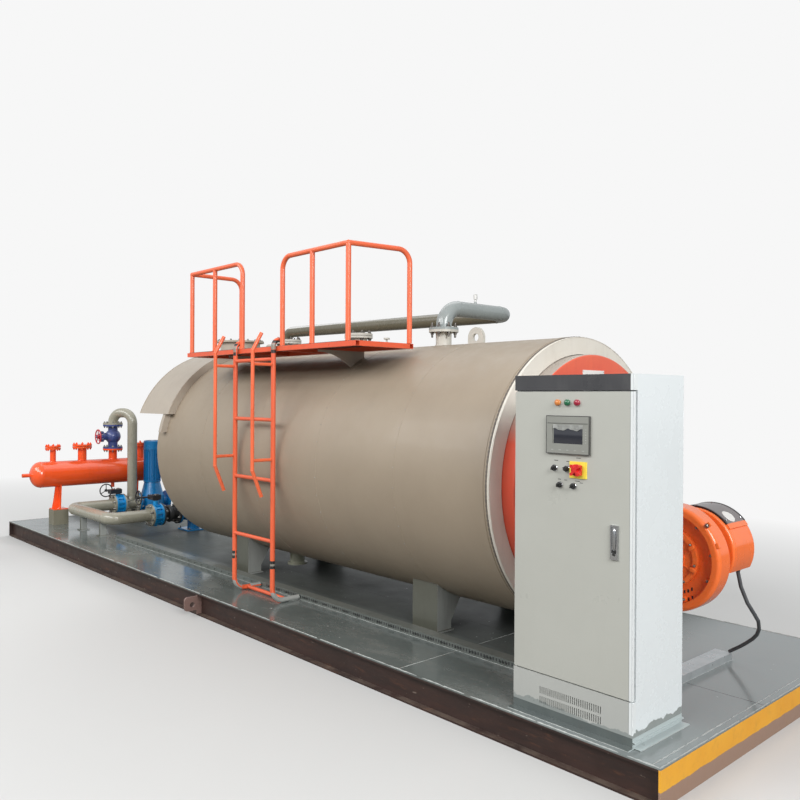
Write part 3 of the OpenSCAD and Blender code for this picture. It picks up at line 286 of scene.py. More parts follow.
# blue valve body whose gear box on top is black
def valvePaint():
    g = Graph("valve_paint")
    g.base = g.mix(g.cloud(6, 6, 0.35, 0.7), (0.005, 0.33, 0.72), (0.005, 0.26, 0.60))
    g.layer(g.cloud(9, 8, 0.6, 0.72, 0, 0.5, 0.7), (0.04, 0.04, 0.05))
    height = g.plus(g.axis("Z"), g.times(g.over(g.axis("X"), -3.4), -0.04))
    g.layer(g.over(height, 0.586), (0.025, 0.025, 0.028))
    g.bump(g.noise(60, 4), 0.2)
    return g.done(g.cloud(7, 5, 0.3, 0.7, 0.25, 0.42), 0.0, 0.3)


# orange door whose upward edge has a pale dusty coat, with painted shade as a deeper red below about 2 to 2.5
# m
def doorPaint():
    g = Graph("furnace_door_paint")
    g.base = g.mix(g.cloud(1.6, 5, 0.35, 0.7), (0.92, 0.20, 0.088), (0.87, 0.18, 0.078))
    g.layer(g.cloud(3, 8, 0.56, 0.78, 0.0, 0.2, 0.7, (5, 5, 1.2)), (0.25, 0.09, 0.06))
    side = g.ramp(g.math("ABSOLUTE", g.facing("X")), 0.5, 0.8, 1.0, 0.0)
    up = g.ramp(g.plus(g.facing("Z"), g.times(g.noise(4, 5), 0.2)), 0.42, 0.62)
    # painted shade: a deeper red lower down on the door
    shade = g.plus(g.axis("Z"), g.cloud(2, 4, 0.3, 0.7, -0.1, 0.1))
    g.layer(g.ramp(shade, 2.0, 2.5, 0.75, 0.0), (0.66, 0.06, 0.035))
    g.layer(g.times(side, up), (0.40, 0.345, 0.30))
    g.bump(g.noise(80, 3), 0.1)
    return g.done(g.cloud(4, 6, 0.3, 0.75, 0.24, 0.42, 0.65), 0.0, 0.3)


# ladder paint that stops at the bare feet, with two dark bands of tape on each side tube
def ladderPaint():
    g = Graph("ladder_paint")
    g.base = g.mix(g.cloud(3, 5, 0.35, 0.7), (0.80, 0.135, 0.05), (0.74, 0.115, 0.045))
    tall = g.axis("Z")
    edge = g.plus(tall, g.cloud(14, 4, 0.3, 0.7, -0.012, 0.012))
    patch = g.times(g.over(g.axis("Y"), -0.99), g.below(g.axis("Y"), -0.90))
    patch = g.times(patch, g.below(g.axis("X"), 0.9))
    bare = g.times(g.ramp(edge, 0.298, 0.302, 1.0, 0.0), g.math("SUBTRACT", 1.0, patch))
    onTube = g.over(g.math("ABSOLUTE", g.math("SUBTRACT", g.axis("X"), 0.91)), 0.29)
    g.layer(g.times(bare, onTube), (0.36, 0.37, 0.35))
    dark, pale = (0.02, 0.02, 0.02), (0.27, 0.25, 0.21)
    for low, high, colour in ((0.503, 0.528, dark), (0.546, 0.572, dark), (2.345, 2.375, dark),
                              (2.43, 2.456, dark),
                              (0.528, 0.546, pale), (2.378, 2.428, pale)):
        band = g.times(g.over(tall, low), g.below(tall, high))
        g.layer(g.times(band, onTube), colour)
    g.bump(g.noise(90, 3), 0.12)
    return g.done(g.cloud(6, 5, 0.3, 0.7, 0.28, 0.45), 0.0, 0.25)


def glassMaterial():
    g = Graph("screen_glass")
    g.base = g.mix(g.cloud(9, 4, 0.3, 0.7), (0.020, 0.022, 0.030), (0.028, 0.03, 0.04))
    return g.done(g.cloud(6, 5, 0.3, 0.7, 0.06, 0.16), 0.0, 0.6)


def rubberMaterial(name, colour, worn):
    g = Graph(name)
    g.base = g.mix(g.cloud(20, 6, 0.35, 0.7), colour, worn)
    g.bump(g.noise(120, 4), 0.25)
    return g.done(g.cloud(12, 5, 0.3, 0.7, 0.38, 0.56))


# grey overspray at the cabinet's foot, and the pale flange of its side panel behind a thin dark gap
footSpray = {"axis": "Z", "at": 0.282, "ragged": 0.019, "scale": 10, "above": False,
             "colour": (0.27, 0.295, 0.285)}
sideStrip = [{"axis": "X", "at": level, "above": True, "colour": colour} for level, colour in (
    (4.7680, (0.10, 0.10, 0.10)), (4.7700, (0.74, 0.775, 0.78)), (4.7835, (0.52, 0.55, 0.56)),
    (4.7865, (0.74, 0.775, 0.78)))]
bandTop = {"axis": "Z", "at": 2.013, "above": True, "colour": (0.043, 0.043, 0.047)}
beamFoot = {"axis": "Z", "at": 0.084, "ragged": 0.004, "above": False, "colour": (0.34, 0.22, 0.165)}
coverFoot = {"axis": "Z", "at": 1.214, "above": False, "colour": (0.95, 0.185, 0.034)}
# painted shade as a darker olive on the upper pipe's long run below x 2.085, and painted light on its top
# above 2.822 m
pipeShade = {"axis": "X", "at": 2.085, "ragged": 0.05, "scale": 4, "above": False,
             "colour": (0.125, 0.112, 0.075)}
pipeLight = {"axis": "Z", "at": 2.822, "above": True, "colour": (0.62, 0.62, 0.60)}
materials = {
    "casing": paint("casing_paint", (0.322, 0.262, 0.194), (0.298, 0.241, 0.178), 0.46, (0.20, 0.16, 0.125),
        0.12, (2.4, 2.4, 0.5), 0.06, 0.12, 2.2),
    "cream": paint("ring_paint", (0.74, 0.71, 0.64), (0.68, 0.64, 0.56), 0.36, (0.30, 0.25, 0.20), 0.2,
        dust=0.15),
    "hood": paint("hood_paint", (0.43, 0.375, 0.305), (0.395, 0.34, 0.28), 0.42, (0.22, 0.18, 0.14), 0.3,
        dust=0.3, wave=1.5),
    "pale": paint("nozzle_paint", (0.58, 0.56, 0.50), (0.50, 0.48, 0.43), 0.4, (0.2, 0.17, 0.13), 0.35,
        dust=0.2),
    "door": doorPaint(),
    "orange": paint("orange_paint", (0.86, 0.16, 0.06), (0.80, 0.135, 0.05), 0.32, (0.20, 0.06, 0.035), 0.22,
        dust=0.1),
    "frameRed": paint("platform_paint", (0.80, 0.115, 0.04), (0.72, 0.095, 0.035), 0.34, (0.16, 0.05, 0.03),
        0.25, dust=0.15),
    "ladder": ladderPaint(),
    "header": paint("header_paint", (1.0, 0.115, 0.02), (0.96, 0.10, 0.018), 0.16, (0.22, 0.05, 0.03), 0.18,
        coat=0.55, dust=0.12),
    "burner": paint("burner_paint", (0.98, 0.195, 0.036), (0.93, 0.17, 0.03), 0.24, (0.25, 0.08, 0.04), 0.15,
        coat=0.5, dust=0.08),
    "deck": deckPaint(),
    "skid": beamPaint(),
    "frontBeam": paint("front_beam_paint", (0.90, 0.46, 0.04), (0.82, 0.37, 0.03), 0.42, (0.36, 0.18, 0.06),
        0.3, (1, 5, 5), splits=[beamFoot]),
    "lug": paint("lug_primer", (0.16, 0.095, 0.08), (0.22, 0.14, 0.12), 0.5, (0.04, 0.025, 0.02), 0.5),
    "leg": legPaint(),
    "pipe": paint("pipe_paint", (0.36, 0.345, 0.27), (0.32, 0.305, 0.24), 0.26, (0.09, 0.08, 0.06), 0.3,
        (3, 3, 3), 0.45, 0.25),
    "upperPipe": paint("upper_pipe_paint", (0.31, 0.345, 0.34), (0.27, 0.30, 0.295), 0.24,
        (0.12, 0.115, 0.09),
        0.25, (1, 3, 3), 0.45, 0.12, splits=[pipeShade, pipeLight]),
    "pedestal": paint("pedestal_paint", (0.20, 0.185, 0.13), (0.24, 0.225, 0.165), 0.5, (0.06, 0.055, 0.04),
        0.5, dust=0.3),
    "floorSteel": paint("floor_steel", (0.13, 0.11, 0.095), (0.09, 0.08, 0.07), 0.55, dust=0.4),
    "bracket": paint("bracket_paint", (0.40, 0.35, 0.29), (0.36, 0.31, 0.26), 0.4, (0.18, 0.15, 0.12), 0.3),
    "cabinet": paint("cabinet_paint", (0.74, 0.785, 0.80), (0.735, 0.78, 0.795), 0.26, (0.70, 0.74, 0.75),
        0.01,
        (0.8, 0.8, 0.25), 0.25, wave=0.15, splits=[footSpray]),
    "cabinetDoor": paint("cabinet_door_paint", (0.455, 0.46, 0.42), (0.435, 0.44, 0.40), 0.36,
        (0.33, 0.33, 0.30), 0.08, (4, 4, 1.0), 0.15, wave=0.6, splits=sideStrip),
    "band": paint("cabinet_front_paint", (0.44, 0.45, 0.425), (0.42, 0.43, 0.41), 0.34, (0.33, 0.33, 0.30),
        0.1,
        (4, 4, 1.0), 0.2, splits=[bandTop, *sideStrip, {**footSpray, "at": 0.272}]),
    "baseSteel": basePaint(),
    "tray": paint("tray_paint", (0.105, 0.118, 0.108), (0.135, 0.148, 0.135), 0.36, (0.05, 0.05, 0.045), 0.4,
        dust=0.14),
    "cap": paint("neck_cap", (0.47, 0.47, 0.36), (0.38, 0.385, 0.29), 0.3, (0.15, 0.14, 0.1), 0.3, coat=0.4),
    "zinc": metal("zinc_cover", (0.52, 0.55, 0.56), (0.40, 0.43, 0.44), 0.3, 0.6),
    "black": paint("black_parts", (0.016, 0.016, 0.017), (0.028, 0.028, 0.028), 0.35, dirtShare=0.1),
    "rubber": rubberMaterial("black_rubber", (0.020, 0.020, 0.022), (0.045, 0.045, 0.046)),
    "hose": rubberMaterial("conduit_rubber", (0.062, 0.066, 0.072), (0.085, 0.09, 0.096)),
    "sealant": paint("sealant_bead", (0.115, 0.10, 0.085), (0.16, 0.14, 0.12), 0.6, dirtShare=0.3, coat=0.0),
    "cover": paint("cover_paint", (0.135, 0.115, 0.12), (0.165, 0.14, 0.145), 0.3, (0.05, 0.045, 0.045), 0.25,
        coat=0.35, dust=0.2, splits=[coverFoot]),
    "lamp": lensMaterial(),
    "yellow": paint("yellow_plate", (0.92, 0.74, 0.08), (0.88, 0.68, 0.07), 0.3, dirtShare=0.05),
    "red": paint("red_handle", (0.66, 0.025, 0.02), (0.6, 0.02, 0.02), 0.26, dirtShare=0.08, coat=0.4),
    "chrome": metal("bright_metal", (0.62, 0.63, 0.65), (0.5, 0.51, 0.53), 0.18),
    "steel": metal("bolt_steel", (0.40, 0.39, 0.37), (0.22, 0.21, 0.20), 0.36),
    "darkSteel": metal("stud_steel", (0.10, 0.095, 0.09), (0.17, 0.15, 0.13), 0.42, 0.8),
    "iron": paint("grey_casting", (0.23, 0.235, 0.235), (0.28, 0.28, 0.28), 0.5),
    "blue": paint("motor_paint", (0.004, 0.225, 0.55), (0.004, 0.19, 0.47), 0.3, (0.03, 0.03, 0.04), 0.3,
        coat=0.4, dust=0.2),
    "valve": valvePaint(),
    "darkBlue": paint("globe_valve_paint", (0.055, 0.085, 0.27), (0.04, 0.06, 0.20), 0.3, (0.05, 0.04, 0.03),
        0.35, coat=0.4, dust=0.25),
    "redIron": paint("red_wheel", (0.58, 0.045, 0.06), (0.48, 0.035, 0.045), 0.32),
    "screen": paint("screen_frame", (0.27, 0.275, 0.25), (0.25, 0.255, 0.23), 0.34, dirtShare=0.1),
    "screenDark": paint("screen_trim", (0.05, 0.05, 0.048), (0.065, 0.065, 0.06), 0.4, dirtShare=0.05),
    "glass": glassMaterial(),
    "film": paint("peeled_film", (0.55, 0.56, 0.53), (0.48, 0.49, 0.47), 0.22, (0.3, 0.3, 0.3), 0.2,
        coat=0.5),
    "white": paint("blank_plate", (0.78, 0.76, 0.73), (0.74, 0.72, 0.69), 0.36, (0.4, 0.36, 0.33), 0.1),
    "bead": paint("weld_bead", (0.46, 0.48, 0.46), (0.30, 0.32, 0.31), 0.42, (0.12, 0.12, 0.11), 0.5),
}
nodeMaterials = {
    "casing": "boiler_shell rear_plate",
    "hood": "rear_hood",
    "bracket": "platform_brackets",
    "cream": "front_ring",
    "pale": "top_nozzles lifting_lugs",
    "door": "furnace_door",
    "skid": "skid_side_beams skid_cross_beams",
    "lug": "lashing_lugs",
    "frontBeam": "skid_front_beam",
    "deck": "deck_plate",
    "ladder": "ladder",
    "frameRed": "platform_frame",
    "orange": "left_railing right_railing grab_rails",
    "header": "header_vessel header_legs",
    "burner": "burner_housing fan_casing",
    "leg": "boiler_legs pipe_supports",
    "cap": "bottom_neck",
    "pedestal": "header_pedestals",
    "pipe": "gooseneck_pipe suction_pipe",
    "upperPipe": "upper_pipe",
    "floorSteel": "platform_floor front_plate",
    "cabinet": "cabinet_body",
    "cabinetDoor": "cabinet_door",
    "band": "cabinet_fronts",
    "baseSteel": "cabinet_base",
    "tray": "cable_tray",
    "zinc": "tray_cover",
    "screen": "screen_unit",
    "lamp": "indicator_lamps",
    "black": "control_knobs rear_gear_wheel front_gear_wheel",
    "yellow": "isolator_plate",
    "red": "isolator_handle",
    "chrome": "door_handle",
    "iron": "burner_head",
    "cover": "burner_cover",
    "rubber": "rubber_joint",
    "hose": "burner_conduit",
    "blue": "pump_casings pump_motors",
    "valve": "butterfly_valves",
    "darkBlue": "globe_valve",
    "redIron": "globe_handwheel",
}
for key, names in nodeMaterials.items():
    for name in names.split():
        nodes[name].data.materials.clear()
        nodes[name].data.materials.append(materials[key])
print("stage: materials assigned")

# the same route as the conduit's solid, in metres
conduitRoute = [(4.7, 0.12, 0.9215), (4.7, 0.12, 0.88), (4.715, 0.13, 0.79), (4.748, 0.15, 0.69),
                (4.776, 0.185, 0.62), (4.784, 0.225, 0.57), (4.768, 0.275, 0.508), (4.735, 0.32, 0.455),
                (4.69, 0.362, 0.41), (4.63, 0.4, 0.36), (4.575, 0.43, 0.318), (4.525, 0.45, 0.284),
                (4.49, 0.462, 0.259)]


def makeConduit():
    curve = bpy.data.curves.new("conduit_hose", "CURVE")
    curve.dimensions = "3D"
    curve.bevel_depth = 0.012
    curve.bevel_resolution = 4
    spline = curve.splines.new("POLY")
    spline.points.add(len(conduitRoute) - 1)
    for point, place in zip(spline.points, conduitRoute):
        point.co = (*place, 1)
    hose = addObject("conduit_hose", curve)
    curve.materials.append(materials["hose"])
    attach(hose, "skid")
    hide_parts("burner_conduit")


makeConduit()
print("stage: conduit made")
chance = random.Random(7)


def addPiece(name, work, material, body="skid", smoothAngle=0.6):
    mesh = bpy.data.meshes.new(name)
    work.to_mesh(mesh)
    work.free()
    mesh.materials.append(materials[material])
    mesh.shade_smooth()
    mesh.set_sharp_from_angle(angle=smoothAngle)
    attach(addObject(name, mesh), body)


def turned(place, angle, axis):
    return Matrix.Translation(place) @ Matrix.Rotation(angle, 4, axis)


# how Z turns onto each named axis, "-" for the other way
axisTurns = {"Z": (0, "X"), "-Z": (pi, "X"), "X": (pi / 2, "Y"),
             "Y": (-pi / 2, "X"), "-X": (-pi / 2, "Y"), "-Y": (pi / 2, "X")}


def along(axis, place):
    return turned(place, *axisTurns[axis])


def addCone(work, matrix, low, high, radiusLow, radiusHigh, sides):
    shift = matrix @ Matrix.Translation((0, 0, (low + high) / 2))
    bmesh.ops.create_cone(work, cap_ends=True, segments=sides, radius1=radiusLow, radius2=radiusHigh,
                          depth=high - low, matrix=shift)


def addBox(work, low, high, matrix=None, bevel=0.0):
    size = [b - a for a, b in zip(low, high)]
    middle = [(a + b) / 2 for a, b in zip(low, high)]
    shift = Matrix.Translation(middle) @ Matrix.Diagonal((*size, 1))
    made = bmesh.ops.create_cube(work, size=1.0, matrix=(matrix or Matrix.Identity(4)) @ shift)
    if bevel:
        edges = {edge for vertex in made["verts"] for edge in vertex.link_edges}
        bmesh.ops.bevel(work, geom=list(edges), offset=bevel, segments=2, affect="EDGES", profile=0.6)


# faces between successive loops of vertices, closed to a ring or capped at both ends
def joinLoops(work, loops, ring):
    count = len(loops[0])
    for first, second in zip(loops, loops[1:] + loops[:1] if ring else loops[1:]):
        for j in range(count):
            work.faces.new((first[j], second[j], second[(j + 1) % count], first[(j + 1) % count]))
    if not ring:
        work.faces.new(loops[0][::-1])
        work.faces.new(loops[-1])


# profile of shifts and reaches carried round an arc, where place() gives the point of each
def addSweep(work, profile, place, steps, start=0.0, span=2 * pi, ring=True):
    loops = []
    for k in range(steps if ring else steps + 1):
        angle = start + span * k / steps
        loops.append([work.verts.new(place(angle, shift, reach)) for shift, reach in profile])
    joinLoops(work, loops, ring)
    bmesh.ops.recalc_face_normals(work, faces=work.faces)


# height and reach of a bolt's parts, in shares of its radius
boltSet = {"washer": (0.35, 2.1), "nut": (1.25, 1.75), "chamfer": (1.6, 1.4), "end": (0.25, 0.7)}


# washer, chamfered hex nut and stud end that stands out of it
def addBolt(work, matrix, size, stud=1.2, washer=True):
    base = 0.0
    if washer:
        thick, reach = boltSet["washer"]
        base = size * thick
        addCone(work, matrix, 0, base, size * reach, size * reach, 16)
    turn = matrix @ Matrix.Rotation(chance.uniform(0, 1), 4, "Z")
    flat, wide = boltSet["nut"]
    tall, narrow = boltSet["chamfer"]
    addCone(work, turn, base, base + size * flat, size * wide, size * wide, 6)
    addCone(work, turn, base + size * flat, base + size * tall, size * wide, size * narrow, 6)
    rise, taper = boltSet["end"]
    tip = base + size * (tall + stud)
    addCone(work, matrix, base + size * tall, tip, size, size, 10)
    addCone(work, matrix, tip, tip + size * rise, size, size * taper, 10)


# each face is the offset of an outer face along the axis and the way its bolts point
def addBoltRing(work, axis, place, radius, count, size, stud, *faces):
    for k in range(count):
        angle = (k + 0.5) * 2 * pi / count
        spot = Vector((cos(angle) * radius, sin(angle) * radius, 0))
        for offset, way in faces:
            local = along(axis, place) @ Matrix.Translation(spot + Vector((0, 0, offset)))
            if way < 0:
                local = local @ Matrix.Rotation(pi, 4, "X")
            addBolt(work, local, size, stud)


# material and rings of each piece: axis, place, ring radius, count, bolt radius, stud, then the faces
boltRings = {
    "header_flange_bolts": ("header", [
        ("Z", (-4.35, y, 0), flange * 0.84, 8, flange * 0.062, 1.0, (top, 1), (top - 0.05, -1))
        for y, flange, top in ((-0.98, 0.100, 1.284), (-0.58, 0.128, 1.289), (0.276, 0.118, 1.289))]),
    "globe_valve_bolts": ("steel", [
        ("Z", (-4.35, -0.14, 0), 0.1134, 8, 0.0078, 1.3, (1.238, 1), (1.194, -1)),
        ("Z", (-4.35, -0.14, 0), 0.1134, 8, 0.0078, 1.1, (1.582, 1), (1.5377, -1)),
        ("Y", (-4.35, -0.14, 1.39), 0.065, 6, 0.006, 0.8, (-0.166, -1))]),
    "suction_flange_bolts": ("steel", [
        ("Y", (-4.05, 0, 0.44), 0.1193, 8, 0.009, 1.6, (-0.269, -1), (-0.101, 1), (0.116, 1), (0.072, -1)),
        ("Y", (-2.75, 0, 0.44), 0.1193, 8, 0.009, 1.6, (-0.319, -1), (-0.151, 1), (0.092, 1), (0.048, -1))]),
    "top_nozzle_studs": ("darkSteel", [
        ("Z", (1.071, 0, 0), 0.1134, 8, 0.0082, 1.4, (2.58, 1), (2.536, -1)),
        ("Z", (-0.1, 0, 0), 0.1134, 8, 0.0082, 1.4, (2.58, 1), (2.536, -1)),
        ("Z", (2.21, 0, 0), 0.1058, 8, 0.0085, 2.6, (2.568, 1), (2.528, -1))]),
    "burner_flange_bolts": ("steel", [("X", (3.744, 0.01, 1.037), 0.2142, 12, 0.010, 0.8, (0.0, 1))]),
    "rear_plate_bolts": ("pale", [("X", (-1.066, 0, 1.395), 0.972, 40, 0.009, 0.6, (0.0, -1))]),
    "pump_base_bolts": ("steel", [
        ("Z", (-4.05, 0.324, 0), 0.180, 4, 0.009, 1.2, (0.216, 1)),
        ("Z", (-2.75, 0.3, 0), 0.180, 4, 0.009, 1.2, (0.216, 1))]),
}


def makeBolts():
    for name, (material, rings) in boltRings.items():
        work = bmesh.new()
        for ring in rings:
            addBoltRing(work, *ring)
        addPiece(name, work, material, smoothAngle=0.5)


makeBolts()
print("stage: bolts made")

# steps along a bead, in metres, and the swelling of a ring's bead
weldSet = {"ringStep": 0.012, "lineStep": 0.02, "swell": 0.28, "ringRough": 0.12, "lineRough": 0.35}


# closed rough bead round a pipe, made of short rounded steps
def addWeldRing(work, matrix, radius, thick):
    steps = max(28, int(radius * 2 * pi / weldSet["ringStep"]))
    loops = []
    for k in range(steps):
        angle = k * 2 * pi / steps
        rough = chance.uniform(-weldSet["ringRough"], weldSet["ringRough"])
        swell = thick * (0.8 + weldSet["swell"] * sin(k * 2.4) + rough)
        loop = []
        for j in range(6):
            tilt = j * pi / 3
            reach = radius + swell * cos(tilt)
            spot = Vector((reach * cos(angle), reach * sin(angle), swell * 1.3 * sin(tilt)))
            loop.append(work.verts.new(matrix @ spot))
        loops.append(loop)
    joinLoops(work, loops, True)


# straight rough bead between two points, narrow at its ends
def addWeldLine(work, start, end, thick):
    start, end = Vector(start), Vector(end)
    steps = max(6, int((end - start).length / weldSet["lineStep"]))
    way = (end - start).normalized()
    side = way.cross(Vector((0, 0, 1)) if abs(way.z) < 0.9 else Vector((1, 0, 0))).normalized()
    rise = side.cross(way)
    loops = []
    for k in range(steps + 1):
        fade = 0.35 if k in (0, steps) else 1.0
        swell = thick * fade * (0.8 + chance.uniform(-weldSet["lineRough"], weldSet["lineRough"]))
        middle = start.lerp(end, k / steps) + side * chance.uniform(-0.3, 0.3) * thick
        loops.append([work.verts.new(middle + side * swell * cos(a) + rise * swell * sin(a))
                      for a in [j * pi / 3 for j in range(6)]])
    joinLoops(work, loops, False)


def makeWelds(name, material, rings, lines=()):
    work = bmesh.new()
    for axis, place, radius, thick in rings:
        addWeldRing(work, along(axis, place), radius, thick)
    for start, end, thick in lines:
        addWeldLine(work, start, end, thick)
    addPiece(name, work, material)


# weld rings by axis, place, radius and thickness, and weld lines by start, end and thickness
headerRings = [("Y", (-4.35, y, 0.893), 0.176, 0.0035) for y in (-1.15, 0.45)] + [
    ("Z", (-4.35, y, 1.066), radius, 0.0045)
    for y, radius in ((-0.98, 0.040), (-0.58, 0.060), (-0.14, 0.060), (0.276, 0.050))]
headerLines = [line for y in (-0.9, 0.2) for line in (
    ((-4.43, y - 0.014, 0.42), (-4.43, y + 0.006, 0.42), 0.004),
    ((-4.27, y - 0.014, 0.42), (-4.27, y + 0.006, 0.42), 0.004),
    ((-4.43, y - 0.011, 0.421), (-4.27, y - 0.011, 0.421), 0.004))]
suctionRings = [
    ("Y", (-4.05, -0.72, 0.44), 0.076, 0.003), ("Y", (-2.75, -0.72, 0.44), 0.076, 0.003),
    ("X", (-3.94, -0.83, 0.44), 0.076, 0.003), ("X", (-2.86, -0.83, 0.44), 0.076, 0.003),
    ("Z", (-4.05, 0.02, 0.56), 0.067, 0.003), ("Z", (-4.05, 0.02, 1.582), 0.067, 0.003),
    ("Y", (-4.05, -0.291, 0.44), 0.0765, 0.004), ("Y", (-2.75, -0.341, 0.44), 0.0765, 0.004)]
upperPipeRings = [("Z", (2.21, 0, 2.572), 0.067, 0.003), ("Y", (2.21, 0.17, 2.742), 0.067, 0.003),
                  ("X", (2.04, 0.88, 2.7442), 0.067, 0.003)]
nozzleRings = [("Z", (x, 0, 2.4148), radius, 0.006) for x,
               radius in ((1.071, 0.088), (-0.1, 0.088), (2.21, 0.071))]
makeWelds("header_welds", "header", headerRings, headerLines)
makeWelds("suction_welds", "pipe", suctionRings)
makeWelds("upper_pipe_welds", "upperPipe", upperPipeRings)
makeWelds("nozzle_welds", "pale", nozzleRings)
print("stage: welds made")

shellSet = {"radius": 1.02, "height": 1.395, "seams": (-0.12, 0.82, 1.76, 2.70), "bandWidth": 0.022,
            "bandThick": 0.0012, "frontJoint": (3.545, 0.05, 0.003), "rivets": 44, "rivet": 0.0045}


# overlapping edges of the cladding sheets, the folded strip behind the front ring, and small rivets
def makeShellTrim():
    radius, height = shellSet["radius"], shellSet["height"]

    def place(angle, x, reach):
        return x, reach * cos(angle), height + reach * sin(angle)

    work = bmesh.new()
    strips = [(x, shellSet["bandWidth"], shellSet["bandThick"]) for x in shellSet["seams"]]
    for x, width, thick in strips + [shellSet["frontJoint"]]:
        near, far = x - width / 2, x + width / 2
        profile = [(near, radius - 0.002), (near + 0.0006, radius + thick), (far - 0.0006, radius + thick),
                   (far, radius - 0.002)]
        addSweep(work, profile, place, 144)
    addPiece("casing_sheet_edges", work, "casing")
    work = bmesh.new()
    for x in shellSet["seams"]:
        for k in range(shellSet["rivets"]):
            angle = (k + 0.5) * 2 * pi / shellSet["rivets"]
            spot = turned((x, 0, height), angle, "X") @ Matrix.Translation((0, 0, radius))
            addCone(work, spot, 0, shellSet["rivet"], shellSet["rivet"], 0.002, 8)
    addPiece("casing_rivets", work, "steel")
    makeWelds("ring_sealant", "sealant", [("X", (3.592, 0, height), radius - 0.001, 0.0065)])


hoodSet = {"radius": 1.092, "low": 1.785, "strips": ((-1.492, 0.012), (-0.832, 0.016)), "proud": 0.003,
           "flue": ("Z", (-1.08, 0, 0), 0.247, 16, 0.007, 0.5, (2.611, 1))}


def makeHoodTrim():
    work = bmesh.new()
    height = shellSet["height"]
    start = asin((hoodSet["low"] - height) / hoodSet["radius"])

    def place(angle, x, proud):
        reach = hoodSet["radius"] + proud
        return x, reach * cos(angle), height + reach * sin(angle)

    for x, width in hoodSet["strips"]:
        near, far, proud = x - width / 2, x + width / 2, hoodSet["proud"]
        profile = [(near, -0.001), (near, proud), (far, proud), (far, -0.001)]
        addSweep(work, profile, place, 60, start, pi - 2 * start, False)
    addPiece("hood_edge_strips", work, "hood")
    work = bmesh.new()
    addBoltRing(work, *hoodSet["flue"])
    addPiece("flue_flange_bolts", work, "steel")


doorPlateSet = {"low": (3.7201, -0.155, 2.075), "high": (3.7225, 0.108, 2.172), "inset": 0.010,
                "ringWeld": ("X", (3.6155, 0, 1.395), 1.017, 0.003)}


def makeDoorPlate():
    low, high, inset = doorPlateSet["low"], doorPlateSet["high"], doorPlateSet["inset"]
    work = bmesh.new()
    addBox(work, low, high, bevel=0.0008)
    addPiece("blank_door_plate", work, "white")
    work = bmesh.new()
    for y in (low[1] + inset, high[1] - inset):
        for z in (low[2] + inset, high[2] - inset):
            addCone(work, along("X", (high[0], y, z)), 0, 0.002, 0.004, 0.0025, 12)
    addPiece("door_plate_rivets", work, "steel")
    makeWelds("front_ring_weld", "cream", [doorPlateSet["ringWeld"]])


makeShellTrim()
makeHoodTrim()
print("stage: casing trim made")
makeDoorPlate()

# cabinet front: level of the door's face, boxes of screen, glass and film, and the small parts on it
cabinetSet = {"face": -1.258, "screenOut": 0.014, "screen": (4.257, 1.674, 4.530, 1.874),
              "glass": (4.304, 1.724, 4.492, 1.815), "film": (4.300, 1.803, 4.495, 1.829),
              "trim": 0.004, "trimBar": (1.835, 1.838), "lever": (4.684, 1.190, 1.300), "lock": 1.170,
              "lamps": (4.324, 4.387, 4.450), "lampHeight": 1.949, "lens": 0.0132,
              "knobs": ((4.304, 1.590, 0.6), (4.384, 1.590, -0.5), (4.340, 1.500, 0.4), (4.429, 1.500, 0.55)),
              "plates": ((4.312, 1.632, 0.026), (4.392, 1.630, 0.024), (4.458, 1.652, 0.030),
                         (4.335, 1.530, 0.020), (4.376, 1.528, 0.018), (4.452, 1.528, 0.03),
                         (4.476, 1.520, 0.02))}


def makeScreenDetail():
    back = cabinetSet["face"]
    face = back - cabinetSet["screenOut"]
    left, low, right, high = cabinetSet["screen"]
    edge = cabinetSet["trim"]
    work = bmesh.new()
    for a, b in (((left - edge, low - edge), (left, high + edge)),
                 ((right, low - edge), (right + edge, high + edge)),
                 ((left, low - edge), (right, low)), ((left, high), (right, high + edge))):
        addBox(work, (a[0], face - 0.0008, a[1]), (b[0], back, b[1]), bevel=0.0006)
    barLow, barHigh = cabinetSet["trimBar"]
    addBox(work, (left + 0.006, face - 0.0012, barLow), (right - 0.006, face + 0.0005, barHigh), bevel=0.0003)
    addPiece("screen_trim", work, "screenDark", "control_door")
    work = bmesh.new()
    a, b, c, d = cabinetSet["glass"]
    addBox(work, (a, face + 0.001, b), (c, face + 0.004, d), bevel=0.001)
    addPiece("screen_glass", work, "glass", "control_door")
    work = bmesh.new()
    steps = 26
    a, b, c, d = cabinetSet["film"]
    pairs = []
    for k in range(steps + 1):
        x = a + (c - a) * k / steps
        wave = 0.0055 * sin(k * 0.52 + 0.6) + 0.002 * sin(k * 1.1)
        curl = 0.002 + 0.002 * sin(k * 0.9)
        pairs.append((work.verts.new((x, face - 0.0004, d)),
                      work.verts.new((x, face - curl - 0.0012, b + wave))))
    for first, second in zip(pairs, pairs[1:]):
        work.faces.new((first[0], first[1], second[1], second[0]))
    bmesh.ops.solidify(work, geom=work.faces[:], thickness=0.0006)
    addPiece("screen_film", work, "film", "control_door")
    work = bmesh.new()
    for k in range(6):
        addCone(work, along("-Y", (4.512, face, 1.735 + k * 0.014)), 0, 0.0012, 0.0025, 0.002, 10)
    for k in range(5):
        x = 4.288 + k * 0.05
        addBox(work, (x, face - 0.0006, 1.690), (x + 0.014, face + 0.0004, 1.6925), bevel=0.0002)
    addPiece("screen_buttons", work, "film", "control_door")


